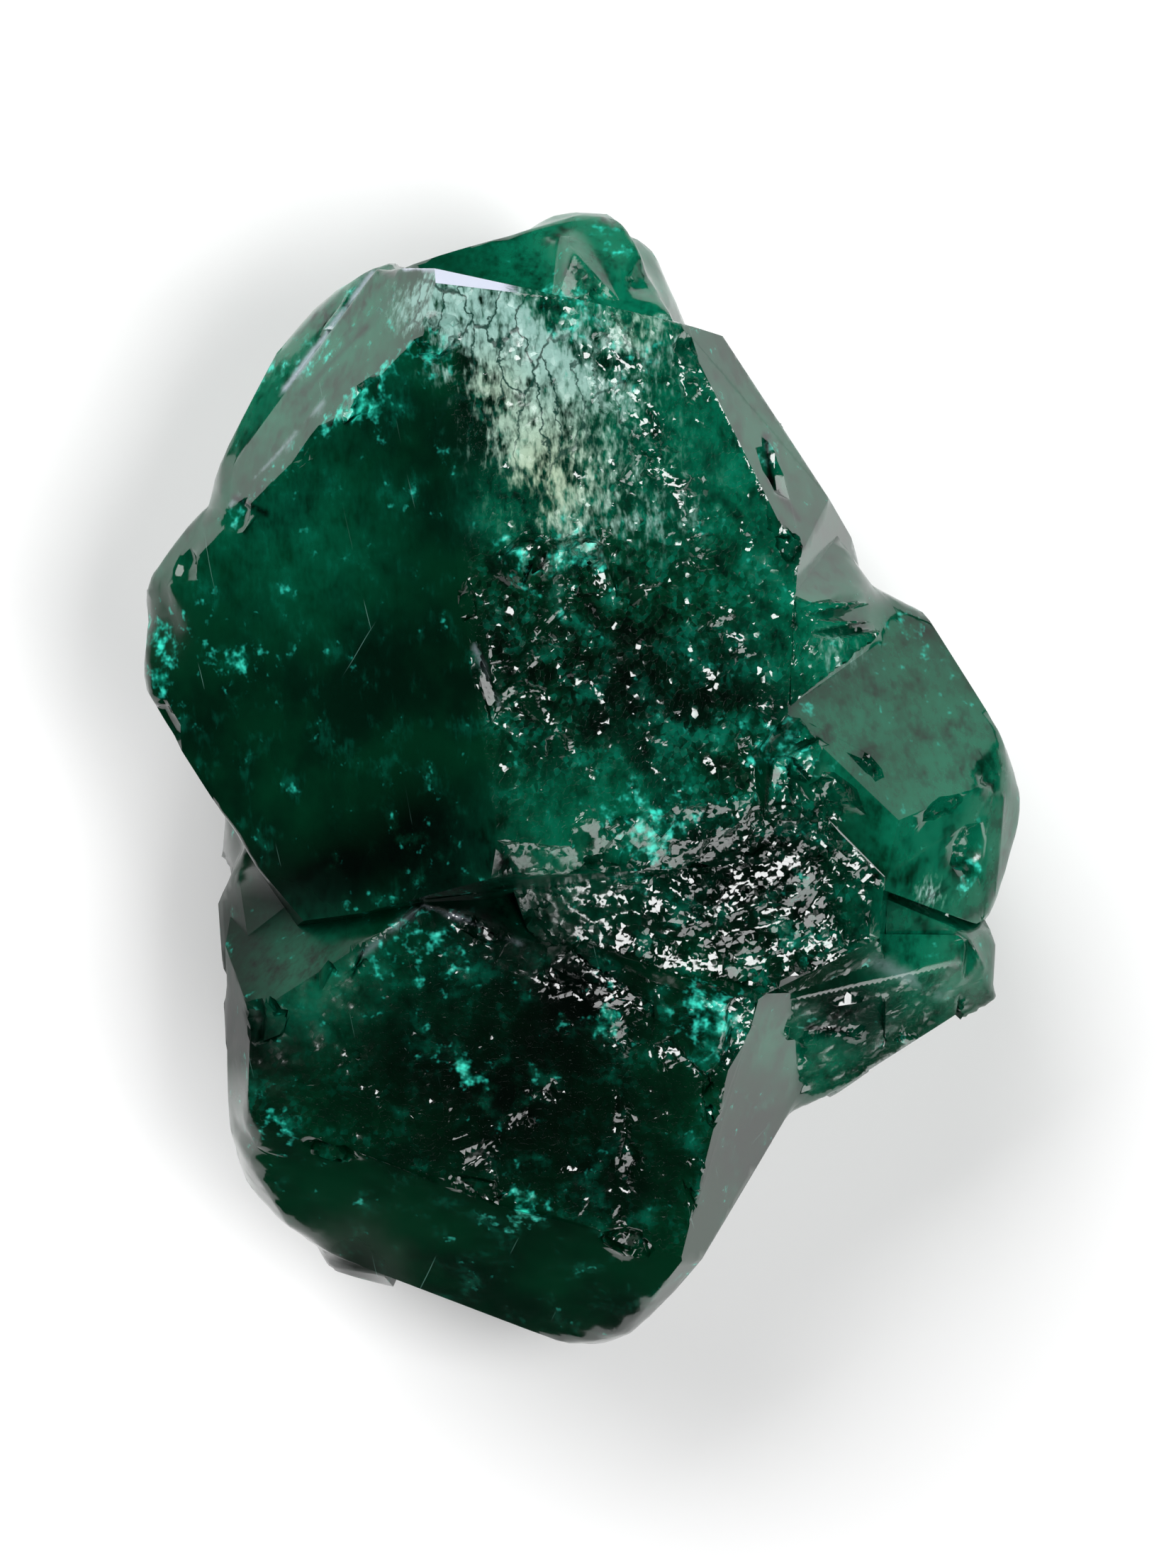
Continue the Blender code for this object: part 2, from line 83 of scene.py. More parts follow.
class Break(Enum):
    """How the surface of a face came about."""

    GROWN = "flat, as it grew"
    HACKLY = "broken into small ledges and flakes"
    SHELL = "broken in curved ripples, like glass"


def direction(bearing: float, lean: float) -> Place:
    """The unit vector at a bearing in degrees from +X that leans so many degrees from straight up."""
    turn, lean = math.radians(bearing), math.radians(lean)
    return math.sin(lean) * math.cos(turn), math.sin(lean) * math.sin(turn), math.cos(lean)


@dataclass(frozen=True)
class Facet:
    """A flat crystal face, or the plane that a broken face follows.

    Args:
        point: A point on the plane.
        bearing: The direction that it looks toward, in degrees from +X, seen from above.
        tilt: Degrees between its outward normal and straight up.
        made: How its surface came about.
        height: The full height of its relief.
        flaky: How strongly its smallest flakes are tilted, where 1 is full.
    """

    point: Place
    bearing: float
    tilt: float
    made: Break = Break.GROWN
    height: float = 0.0
    flaky: float = 0.0

    @property
    def normal(self) -> Array:
        """The outward direction of the plane, one unit long."""
        return np.array(direction(self.bearing, self.tilt))

    def away(self, points: Array) -> Array:
        """Signed distance of each point from the plane."""
        return (points - np.array(self.point)) @ self.normal


@dataclass(frozen=True)
class Streak:
    """A soft narrow marking along a straight line, seen from above.

    Args:
        start: One end in the photo's frame, in pixels.
        end: The other end, in pixels.
        width: The distance at which it has faded to a third, in millimetres.
        strength: How strong it is along its middle.
        above: The height in millimetres under which it doesn't reach.
    """

    start: Pair
    end: Pair
    width: float
    strength: float = 1.0
    above: float = 0.0

    def weight(self, points: Array) -> Array:
        """Strength times exp(-(distance / width) squared), with the distance to the line in plan.

        Args:
            points: The places, shape (n, 3).

        Returns:
            The weights, shape (n,).
        """
        ends = (np.array([self.start, self.end]) - PHOTO_CENTRE) * (PHOTO_SCALE, -PHOTO_SCALE)
        way = ends[1] - ends[0]
        along = np.clip((points[:, :2] - ends[0]) @ way / max(way @ way, TINY), 0.0, 1.0)
        gap = points[:, :2] - ends[0] - along[:, None] * way
        near = np.exp(-(gap**2).sum(axis=1) / self.width**2)
        return self.strength * near * (points[:, 2] > self.above)


class Spot(Streak):
    """A soft round patch: a streak whose two ends are one pixel.

    Args:
        px: Its centre across the photo's frame, in pixels.
        py: Its centre down the frame, in pixels.
        rest: The streak's width, strength and height.
    """

    def __init__(self, px: float, py: float, *rest: float) -> None:
        """Put both ends at the centre."""
        super().__init__((px, py), (px, py), *rest)


def spots_weight(spots: list[Streak], points: Array) -> Array:
    """The sum of several spots at each point, cut off at 1."""
    total = sum((spot.weight(points) for spot in spots), np.zeros(len(points)))
    return np.clip(total, 0.0, 1.0)


def smoothstep(low: float, high: float, value: Array) -> Array:
    """0 below low, 1 above high, and 3t^2 - 2t^3 between them."""
    t = np.clip((value - low) / (high - low), 0.0, 1.0)
    return t * t * (3.0 - 2.0 * t)


def scatter(cells: Array, seed: int) -> Array:
    """A fixed number from 0 to 1 for each whole-numbered lattice point.

    The three coordinates are multiplied by large odd numbers and added, and their bits are mixed.

    Args:
        cells: Whole-numbered lattice points, shape (..., 3).
        seed: A different seed gives a different pattern.

    Returns:
        The numbers, shape (...).
    """
    mixed = cells.astype(np.int64) @ np.array(AXIS_FACTORS) + seed * SEED_FACTOR
    for shift, factor in MIXING:
        mixed = (mixed ^ (mixed >> shift)) & LOW_BITS
        mixed = (mixed * factor) & LOW_BITS
    return (mixed ^ (mixed >> LAST_SHIFT)) / float(LOW_BITS)


def value_noise(points: Array, size: float, seed: int) -> Array:
    """Smooth noise: scattered lattice numbers, blended by 3t^2 - 2t^3 along each of the three axes.

    Args:
        points: The places, shape (n, 3).
        size: The distance between lattice points.
        seed: Which pattern.

    Returns:
        The noise from -1 to 1, shape (n,).
    """
    placed = points / size
    cell = np.floor(placed)
    t = placed - cell
    t = t * t * (3.0 - 2.0 * t)
    total = np.zeros(len(points))
    for corner in np.ndindex(2, 2, 2):
        step = np.array(corner)
        share = np.prod(np.where(step == 1, t, 1.0 - t), axis=1)
        total += share * scatter(cell + step, seed)
    return 2.0 * total - 1.0


def fractal(points: Array, size: float, seed: int, octaves: int = 4) -> Array:
    """Noise summed over octaves, each half as large and half as strong as the one before."""
    return sum(value_noise(points, size / 2**k, seed + k) / 2**k for k in range(octaves))


def flakes(points: Array, size: float, seed: int) -> Array:
    """Height of small flat flakes, each tilted its own way, from about -1 to 1.

    Every lattice cell holds one centre at a fixed scattered place. A point belongs to the nearest
    centre, and its height is the product of its offset from that centre with the centre's own slope.

    Args:
        points: The places, shape (n, 3).
        size: The usual width of a flake.
        seed: Which pattern.

    Returns:
        The heights, shape (n,).
    """
    placed = points / size
    cell = np.floor(placed)
    nearest = np.full(len(points), np.inf)
    height = np.zeros(len(points))
    for neighbour in np.ndindex(3, 3, 3):
        spot = cell + np.array(neighbour) - 1.0
        jitter = np.stack([scatter(spot, seed + k) for k in range(3)], axis=1)
        slope = np.stack([scatter(spot, seed + SLOPE_SEED + k) for k in range(3)], axis=1) * 2.0 - 1.0
        offset = placed - spot - jitter
        gap = (offset**2).sum(axis=1)
        closer = gap < nearest
        nearest = np.where(closer, gap, nearest)
        height = np.where(closer, (offset * slope).sum(axis=1), height)
    return height


@dataclass(frozen=True)
class HacklyRelief:
    """The relief of a hackly break: lumps and ledges with flakes over them.

    Args:
        lump_size: Width of the lumps.
        lump_level: The level that the folded noise of the lumps is taken from.
        ledge_size: Width of the ledges.
        steps: How many ledges one unit of noise makes.
        riser: Where on a ledge the rise to the next begins, as a part of its width.
        flake_sizes: Widths of the two sizes of flakes.
        octaves: Octaves of the noise.
        shares: Heights of the lumps, the ledges and the two sizes of flakes.
        seeds: The patterns of those four.
    """

    lump_size: float = 2.6
    lump_level: float = 0.35
    ledge_size: float = 1.7
    steps: float = 4.0
    riser: float = 0.6
    flake_sizes: Pair = (0.85, 0.4)
    octaves: int = 3
    shares: tuple[float, ...] = (0.3, 0.16, 0.2, 0.06)
    seeds: tuple[int, ...] = (11, 23, 37, 53)

    def height(self, points: Array) -> Array:
        """Add up the forms.

        Noise folded about zero gives the lumps. A staircase of finer noise, with its rises rounded by
        smoothstep, gives the ledges. Two sizes of tilted flakes lie over them.

        Args:
            points: The places, shape (n, 3).

        Returns:
            The heights from about -0.5 to 0.5, shape (n,).
        """
        lumps = self.lump_level - np.abs(fractal(points, self.lump_size, self.seeds[0], self.octaves))
        stairs = fractal(points, self.ledge_size, self.seeds[1], self.octaves) * self.steps
        whole = np.floor(stairs)
        ledges = (whole + smoothstep(self.riser, 1.0, stairs - whole)) / self.steps
        thin = [flakes(points, size, seed) for size, seed in zip(self.flake_sizes, self.seeds[2:])]
        return sum(share * form for share, form in zip(self.shares, [lumps, ledges, *thin]))


@dataclass(frozen=True)
class ShellRelief:
    """The relief of a glassy break, rippled like the inside of a shell.

    Args:
        strike: The point that the ripples run round.
        bend: How strongly noise bends the ripples.
        bend_size: Width of that noise.
        ripples: Radians for a millimetre and for a unit of bend, of the coarse and the fine ripples.
        fold: How deep the folded ripples go.
        stretch: What the places are multiplied by to draw the flakes out.
        flake_size: Width of the flakes.
        lump_size: Width of the lumps.
        octaves: Octaves of the noise.
        shares: Heights of the coarse ripples, the fine ones, the flakes and the lumps.
        seeds: The patterns of the bend, the flakes and the lumps.
    """

    strike: Place = (2.6, 1.6, 13.0)
    bend: float = 1.5
    bend_size: float = 2.8
    ripples: tuple[Pair, ...] = ((2.5, 2.2), (8.0, 5.0))
    fold: float = 1.6
    stretch: Place = (0.6, 1.0, 1.0)
    flake_size: float = 0.45
    lump_size: float = 1.9
    octaves: int = 2
    shares: tuple[float, ...] = (0.13, 0.035, 0.22, 0.2)
    seeds: tuple[int, int, int] = (71, 83, 97)

    def height(self, points: Array) -> Array:
        """Add up the forms.

        The sine of the distance from the strike point, bent by broad noise, is folded about zero, so
        that the crests of the ripples are sharp. Long flakes break them up, over broad lumps.

        Args:
            points: The places, shape (n, 3).

        Returns:
            The heights from about -0.5 to 0.5, shape (n,).
        """
        bend = self.bend * fractal(points, self.bend_size, self.seeds[0], self.octaves)
        distance = np.linalg.norm(points - np.array(self.strike), axis=1)
        waves = [np.abs(np.sin(pace * distance + sway * bend)) for pace, sway in self.ripples]
        forms = [1.0 - wave * self.fold for wave in waves]
        forms.append(flakes(points * np.array(self.stretch), self.flake_size, self.seeds[1]))
        forms.append(fractal(points, self.lump_size, self.seeds[2], self.octaves))
        return sum(share * form for share, form in zip(self.shares, forms))


RELIEFS = {Break.HACKLY: HacklyRelief(), Break.SHELL: ShellRelief()}


@dataclass
class Skin:
    """A triangle mesh as whole arrays.

    Args:
        points: Corner places, shape (n, 3).
        triangles: Corner numbers, shape (m, 3).
        region: For each triangle, the number of its facet in the list, or -1.
    """

    points: Array
    triangles: Array
    region: Array

    def face_normals(self) -> Array:
        """Cross product of two sides of each triangle; its length is twice the triangle's area."""
        a, b, c = (self.points[self.triangles[:, k]] for k in range(3))
        return np.cross(b - a, c - a)

    def point_normals(self) -> Array:
        """Area-weighted mean of the normals of the triangles round each point.

        Returns:
            Vectors one unit long, shape (n, 3).
        """
        total = np.zeros_like(self.points)
        normals = self.face_normals()
        for k in range(3):
            np.add.at(total, self.triangles[:, k], normals)
        return total / np.maximum(np.linalg.norm(total, axis=1, keepdims=True), TINY)

    def split_once(self, spacing: Array) -> bool:
        """Halve the edges that are the longest of a triangle and longer than its spacing.

        Args:
            spacing: The longest edge wanted in each triangle.

        Returns:
            Whether anything was split.
        """
        sides = np.stack([self.triangles, np.roll(self.triangles, -1, axis=1)], axis=2)
        lengths = np.linalg.norm(self.points[sides[:, :, 0]] - self.points[sides[:, :, 1]], axis=2)
        ends, number = np.unique(np.sort(sides.reshape(-1, 2), axis=1), axis=0, return_inverse=True)
        number = number.reshape(-1, 3)
        rows = np.arange(len(self.triangles))
        longest = lengths.argmax(axis=1)
        wanted = lengths[rows, longest] > spacing
        split = np.zeros(len(ends), dtype=bool)
        split[number[rows, longest][wanted]] = True
        if not split.any():
            return False
        middle = np.full(len(ends), -1)
        middle[split] = len(self.points) + np.arange(split.sum())
        self.points = np.concatenate([self.points, self.points[ends[split]].mean(axis=1)])
        self._rebuild(middle[number])
        return True

    def _rebuild(self, middles: Array) -> None:
        """Replace each triangle by the pieces that its split sides leave.

        Args:
            middles: The number of the new point on each side, or -1 where a side is whole.
        """
        cut = (middles >= 0).sum(axis=1)
        made = [self.triangles[cut == 0]]
        tags = [self.region[cut == 0]]
        for count in (1, 2, 3):
            for first in range(3 if count < 3 else 1):
                order = [(first + k) % 3 for k in range(3)]
                m = middles[:, order]
                if count == 1:
                    chosen = (cut == 1) & (m[:, 0] >= 0)
                elif count == 2:
                    chosen = (cut == 2) & (m[:, 2] < 0)
                else:
                    chosen = cut == 3
                a, b, c = self.triangles[chosen][:, order].T
                ab, bc, ca = m[chosen].T
                pieces = {
                    1: [(a, ab, c), (ab, b, c)],
                    2: [(ab, b, bc), (a, ab, bc), (a, bc, c)],
                    3: [(a, ab, ca), (ab, b, bc), (ca, bc, c), (ab, bc, ca)],
                }[count]
                made += [np.stack(piece, axis=1) for piece in pieces]
                tags += [self.region[chosen]] * len(pieces)
        self.triangles = np.concatenate(made)
        self.region = np.concatenate(tags)


def merged_copy(source: Object) -> Skin:
    """Copy a solid's triangles, with corners at the same place made one.

    Args:
        source: The solid, in metres.

    Returns:
        The skin, in millimetres.
    """
    mesh = source.data
    mesh.calc_loop_triangles()
    places = np.empty(len(mesh.vertices) * 3)
    mesh.vertices.foreach_get("co", places)
    corners = np.empty(len(mesh.loop_triangles) * 3, dtype=np.int32)
    mesh.loop_triangles.foreach_get("vertices", corners)
    rounded = np.round(places.reshape(-1, 3) * METRE, 3)
    points, number = np.unique(rounded, axis=0, return_inverse=True)
    triangles = number.reshape(-1)[corners].reshape(-1, 3)
    whole = (np.diff(np.sort(triangles, axis=1), axis=1) > 0).all(axis=1)
    triangles = triangles[whole]
    return Skin(points, triangles, np.full(len(triangles), -1))


# Corner points that several faces share, and two faces that are treated in their own way
APEX = (-4.1, 11.6, 16.5)
CREST = (-4.1, -3.2, 14.2)
RIGHT_APEX = (8.3, -1.0, 12.5)
# The top face gets a painted glare: a near-white colour that stands in for a lamp's reflection
GLARE_TOP_FACE = Facet((-3.9, 12.95, 16.3), 51, 40)
RIGHT_BAND = Facet((6.0, 5.1, 12.3), 22, 60)

# The faces whose surface is known. A triangle belongs to the nearest that it agrees with.
FACETS = [
    Facet(APEX, 9, 25.3, Break.HACKLY, 0.28, 0.55),
    Facet(CREST, 266, 17, Break.HACKLY, 0.22, 0.25),
    Facet((2.6, -0.5, 14.3), 330, 32, Break.SHELL, 0.4, 0.5),
    Facet((3.0, -2.0, 13.2), 345, 9, Break.SHELL, 0.5, 0.5),
    Facet((6.7, -5.3, 11.3), 300, 45, Break.SHELL, 0.04, 0.05),
    Facet((0.5, 13.5, 12.4), 80, 18, Break.HACKLY, 0.25, 0.3),
    GLARE_TOP_FACE,
    RIGHT_BAND,
    Facet(APEX, 188, 36),
    Facet(APEX, 158.5, 54.6),
    Facet(CREST, 130, 55),
    Facet(CREST, 68, 50),
    Facet((4.1, -6.3, 13.5), 337, 62),
    Facet((-4.9, -9.7, 12.4), 256, 46),
    Facet(RIGHT_APEX, 42, 40),
    Facet(RIGHT_APEX, 253, 8),
    Facet(RIGHT_APEX, 339, 47),
    Facet((7.9, -4.4, 10.9), 340, 20),
    Facet((-7.8, 9.8, 12.0), 150, 47),
    Facet((-3.0, 13.6, 11.6), 95, 38),
]

# Where each marking gathers, read off the photo's frame. Frost is a pale etching of the skin at the top
# of the rough right face; its colour is partly a painted sheen that stands in for soft light reflected
# there, and the spot at (1185, 920) is painted sheen alone. Cream is where it is yellower.
FROST_AND_SHEEN = [
    Spot(605, 440, 0.8, 0.8, 13.0), Spot(680, 450, 1.3, 1.0, 13.0), Spot(740, 530, 1.5, 0.9, 13.0),
    Spot(760, 640, 1.3, 0.6, 13.0), Spot(850, 560, 1.7, 0.5, 13.0), Spot(900, 470, 1.2, 0.45, 13.0),
    Spot(800, 740, 1.7, 0.3, 13.0), Spot(930, 700, 1.6, 0.3, 13.0), Spot(1185, 920, 0.9, 0.28, 9.0),
    Spot(1310, 1260, 0.4, 0.8),
]
CREAM = [Spot(770, 680, 1.7), Spot(690, 560, 0.9, 0.6), Spot(900, 470, 0.7, 0.5)]

# Painted shade: the deep places that let no light back are painted night-dark. The thin places that
# light comes through are clearer and painted bright, as painted light.
PAINTED_SHADE = [
    Spot(600, 1180, 1.9), Spot(690, 1260, 1.6), Spot(480, 1230, 1.2, 0.7), Spot(640, 720, 1.5, 0.5),
    Spot(560, 930, 2.0, 0.45), Spot(700, 900, 1.4, 0.45), Spot(880, 960, 1.6, 0.8),
    Spot(1010, 960, 1.2, 0.6), Spot(820, 1380, 1.8, 0.95), Spot(350, 1440, 1.6),
    Spot(400, 1290, 1.6, 0.95), Spot(500, 1790, 1.0, 0.7), Spot(560, 1480, 2.4, 0.75),
    Spot(740, 1560, 2.6, 0.85), Spot(900, 1640, 2.0, 0.55), Spot(330, 1020, 1.8, 0.3),
    Spot(1000, 1240, 1.8, 0.8), Spot(1130, 1200, 1.6, 0.6), Spot(1255, 1285, 0.9),
    Spot(1230, 1410, 1.2, 0.7), Spot(1180, 1440, 1.2, 0.7),
]
# Thin places: clearer, and painted bright as painted light coming through
CLEAR_AND_PAINTED_LIGHT = [
    Spot(790, 1190, 1.8, 0.25), Spot(900, 1150, 1.6, 0.2), Spot(430, 760, 2.2, 0.2),
    Spot(720, 720, 0.9, 0.5), Spot(830, 340, 2.6), Spot(900, 390, 1.4, 0.7), Spot(1340, 1180, 1.8),
    Spot(1370, 1040, 1.4, 0.5), Spot(1320, 1340, 1.5, 0.9), Spot(1240, 950, 1.8, 0.45),
    Spot(1050, 640, 2.2, 0.5), Spot(1150, 850, 1.6, 0.45), Spot(440, 1370, 1.4, 0.3),
    Spot(450, 430, 1.9), Spot(360, 560, 1.2, 0.6), Streak((560, 430), (250, 800), 0.9, 0.15),
    Spot(1170, 1060, 1.3, 0.4), Spot(1160, 1500, 1.0, 0.5), Spot(880, 610, 1.9, 0.4),
    Spot(590, 1340, 1.6, 0.05), Spot(1080, 1460, 0.8, 0.5),
]

# Turquoise veils and bruises inside the crystal
VEIL = [
    Spot(520, 585, 0.7, 0.8), Spot(625, 500, 0.7), Spot(800, 445, 0.9), Spot(890, 520, 0.9, 0.75),
    Spot(820, 790, 0.7, 0.9), Spot(740, 800, 0.8, 0.7), Spot(920, 1170, 1.2, 0.85),
    Spot(860, 1430, 0.6, 0.9), Spot(1000, 1435, 0.9, 0.9), Spot(600, 1330, 1.4, 0.5),
    Spot(1110, 1060, 0.8, 0.95), Spot(1085, 640, 0.4), Spot(350, 940, 0.8, 0.5),
    Spot(260, 900, 1.0, 0.5), Spot(1290, 880, 0.8, 0.7), Spot(1360, 1230, 0.5),
    Spot(740, 1690, 0.7, 0.85), Spot(660, 1510, 0.5, 0.75), Spot(390, 1590, 0.8, 0.65),
    Spot(860, 330, 0.9, 0.5), Spot(470, 430, 1.4, 0.5), Spot(380, 520, 1.0, 0.55),
    Streak((215, 870), (235, 1000), 0.4, 0.6), Streak((590, 500), (340, 725), 0.28, 0.55),
]

# Places on the broken faces that are smooth
CALM = [
    Spot(650, 680, 1.2), Spot(610, 480, 0.9, 0.8), Spot(810, 1180, 1.7, 0.8), Spot(980, 620, 1.2, 0.5),
    Streak((607, 400), (700, 1270), 0.45),
]

# Painted highlights on edges and narrow faces, a near-white colour standing in for the light that they
# reflect, and open cracks
PAINTED_HIGHLIGHTS = [
    Streak((578, 386), (680, 388), 0.17, 1.0, 13.0), Streak((680, 384), (722, 402), 0.14, 1.0, 13.0),
    Streak((515, 1343), (598, 1277), 0.09, 0.15, 12.0),
    Streak((600, 1275), (650, 1292), 0.08, 0.25, 12.0),
    Streak((650, 1292), (745, 1333), 0.07, 0.16, 12.0), Streak((527, 392), (405, 553), 0.1, 0.65, 9.0),
    Streak((460, 575), (330, 715), 0.07, 0.3, 9.0), Streak((1240, 1356), (1318, 1398), 0.22, 0.2),
    Streak((672, 915), (708, 1000), 0.06, 0.2, 9.0),
]
CRACK = [
    Streak((1079, 618), (1085, 680), 0.12), Streak((1085, 680), (1125, 735), 0.1, 0.9),
    Streak((1140, 1448), (1190, 1452), 0.12), Streak((335, 705), (380, 728), 0.08),
    Streak((430, 560), (520, 470), 0.08, 0.5), Streak((1108, 1470), (1055, 1590), 0.12, 0.3),
    Streak((560, 425), (515, 480), 0.1, 0.35), Streak((480, 530), (430, 590), 0.09, 0.3),
]

# Corners that are worn round
WORN = [
    Spot(200, 900, 1.2), Spot(556, 366, 0.6, 0.5), Spot(430, 430, 0.9), Spot(290, 690, 0.8),
    Spot(745, 298, 0.9), Spot(870, 290, 1.1), Spot(945, 405, 0.7), Spot(1250, 830, 0.7),
    Spot(1440, 1080, 0.8), Spot(1418, 1240, 0.7), Spot(1410, 1360, 0.8), Spot(1125, 1566, 0.6),
    Spot(870, 1895, 1.1), Spot(425, 1754, 0.9), Spot(340, 1620, 0.9), Spot(313, 1420, 0.6),
    Spot(313, 1190, 0.6),
]

# Small crystals and hollows with a dull skin
DULL = [
    Spot(840, 335, 1.5, 0.8), Spot(750, 1290, 1.3, 0.85), Spot(350, 1310, 2.2), Spot(330, 1470, 1.8),
    Spot(440, 1360, 1.6, 0.9), Spot(500, 1790, 1.2), Spot(215, 900, 1.2, 0.9),
    Spot(1460, 1120, 1.3, 0.9), Spot(1440, 1230, 1.2, 0.9), Spot(1395, 1360, 1.2, 0.9),
]

# Each soft patch of the skin by its name
MARKINGS = dict(
    frost_and_sheen=FROST_AND_SHEEN, cream=CREAM, dark=PAINTED_SHADE, lit=CLEAR_AND_PAINTED_LIGHT, veil=VEIL, painted_highlight=PAINTED_HIGHLIGHTS, crack=CRACK, dull=DULL
)


@dataclass
class CrystalCluster:
    """The crystals grown together: one skin that stands for the solid.

    Args:
        grown_spacing: Longest triangle edge on plain surfaces.
        facet_spacing: Longest edge on the named grown faces, which carry markings.
        broken_spacing: Longest edge where the surface is broken.
        under_spacing: Longest edge on the broken sides that lead in under the crystals.
        mark_spacing: Longest edge along the narrow markings.
        mark_reach: How strong a narrow marking is where it still needs the fine edges.
        under_height: Full height of the relief of those low sides.
        under_top: Height above the floor over which the sides are left as they are.
        under_lean: How far up the normal of such a side may point, as a cosine.
        under_foot: The heights between which the relief of the sides comes in.
        under_fade: How far below the top of the sides their relief begins to fade.
        near: How far the solid's own relief strays from a broken plane.
        alike: How much a triangle's normal must agree with its broken plane's, as a cosine.
        flat: The same for a grown face, which is truly flat.
        touching: How far a triangle of a grown face may lie from the face's plane.
        side_flaky: How strongly the small flakes of the low sides are tilted, where 1 is full.
        glare_end: How far to the right the top face's painted glare reaches.
        glare_fade: The width over which that painted glare comes in.
        sharp_angle: Edges over this many degrees stay crisp.
        rounds: The most times that the mesh is split.
        wear_passes: How often the worn corners are eased.
        wear: How much one pass eases a worn corner.
        base: Points no higher than this belong to the flat base.
        facets: The faces whose surface is known.
    """

    grown_spacing: float = 0.5
    facet_spacing: float = 0.42
    broken_spacing: float = 0.168
    under_spacing: float = 0.55
    mark_spacing: float = 0.14
    mark_reach: float = 0.03
    under_height: float = 0.9
    under_top: float = 8.5
    under_lean: float = 0.1
    under_foot: Pair = (0.05, 1.2)
    under_fade: float = 3.0
    near: float = 0.42
    alike: float = 0.8
    flat: float = 0.999
    touching: float = 0.02
    side_flaky: float = 0.4
    glare_end: float = -1.5
    glare_fade: float = 0.6
    sharp_angle: float = 38.0
    rounds: int = 30
    wear_passes: int = 30
    wear: float = 0.3
    base: float = 0.02
    facets: list[Facet] = field(default_factory=lambda: FACETS)

    def build(self, finish: "DioptaseFinish") -> None:
        """Make the skin, dress it and hand it to the frame.

        Args:
            finish: The crystal's material.
        """
        skin = merged_copy(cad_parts[NODE])
        self.name_regions(skin)
        for _ in range(self.rounds):
            if not skin.split_once(self.spacing(skin)):
                break
        rough = self.give_relief(skin)
        self.wear_corners(skin)
        piece = self.to_object(skin, rough)
        piece.data.materials.append(finish.build())
        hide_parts(NODE)
        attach(piece, "root")
        LOG.info("%s: %d triangles", piece.name, len(skin.triangles))

    def name_regions(self, skin: Skin) -> None:
        """Give each triangle the number of the facet that it lies in, by its distance and its normal.

        The low sides get the number after the last facet.

        Args:
            skin: The skin, with no region named yet.
        """
        normals = skin.face_normals()
        normals /= np.maximum(np.linalg.norm(normals, axis=1, keepdims=True), TINY)
        centres = skin.points[skin.triangles].mean(axis=1)
        best = np.full(len(centres), np.inf)
        for number, facet in enumerate(self.facets):
            broken = facet.made is not Break.GROWN
            limit = self.near if broken else self.touching
            cosine = self.alike if broken else self.flat
            away = np.abs(facet.away(centres))
            inside = (away < limit) & (normals @ facet.normal > cosine) & (away < best)
            skin.region[inside] = number
            best = np.where(inside, away, best)
        low = (centres[:, 2] > self.base) & (centres[:, 2] < self.under_top)
        skin.region[(skin.region < 0) & (normals[:, 2] < self.under_lean) & low] = len(self.facets)

    def spacing(self, skin: Skin) -> Array:
        """The longest edge wanted: fine in broken faces and along narrow markings, else coarse.

        Args:
            skin: The skin as it is split so far.

        Returns:
            A length for each triangle.
        """
        wanted = np.full(len(skin.triangles), self.grown_spacing)
        for number, facet in enumerate(self.facets):
            grown = facet.made is Break.GROWN
            wanted[skin.region == number] = self.facet_spacing if grown else self.broken_spacing
        wanted[skin.region == self.facets.index(RIGHT_BAND)] = self.broken_spacing
        wanted[skin.region == len(self.facets)] = self.under_spacing
        centres = skin.points[skin.triangles].mean(axis=1)
        marked = spots_weight(PAINTED_HIGHLIGHTS + CRACK, centres) > self.mark_reach
        return np.where(marked, np.minimum(wanted, self.mark_spacing), wanted)

    def wear_corners(self, skin: Skin) -> None:
        """Round the corners: each pass moves a point part of the way to the mean of its neighbours.

        Args:
            skin: The skin with its relief.
        """
        sides = np.concatenate([skin.triangles[:, pair] for pair in ([0, 1], [1, 2], [2, 0])])
        sides = np.unique(np.sort(sides, axis=1), axis=0)
        ends, others = sides.ravel(), sides[:, ::-1].ravel()
        count = np.bincount(ends, minlength=len(skin.points))
        share = self.wear * spots_weight(WORN, skin.points)
        share[skin.points[:, 2] < self.base] = 0.0
        for _ in range(self.wear_passes):
            for axis in range(3):
                here = skin.points[:, axis]
                total = np.bincount(ends, weights=here[others], minlength=len(here))
                skin.points[:, axis] = here + share * (total / count - here)

    def give_relief(self, skin: Skin) -> Array:
        """Lay the broken faces back onto their planes and raise their finer relief.

        Args:
            skin: The finely split skin.

        Returns:
            How broken the surface is at each point, from 0 to 1.
        """
        rough = np.zeros(len(skin.points))
        for number, facet in enumerate(self.facets):
            if facet.made is Break.GROWN:
                continue
            mine = np.zeros(len(skin.points), dtype=bool)
            mine[skin.triangles[skin.region == number]] = True
            inner = mine.copy()
            inner[skin.triangles[skin.region != number]] = False
            places = skin.points[inner]
            alive = 1.0 - spots_weight(CALM, places)
            lift = facet.height * alive * RELIEFS[facet.made].height(places) - facet.away(places)
            skin.points[inner] += lift[:, None] * facet.normal
            rough[inner] = alive * facet.flaky
        self.break_sides(skin, rough)
        return rough

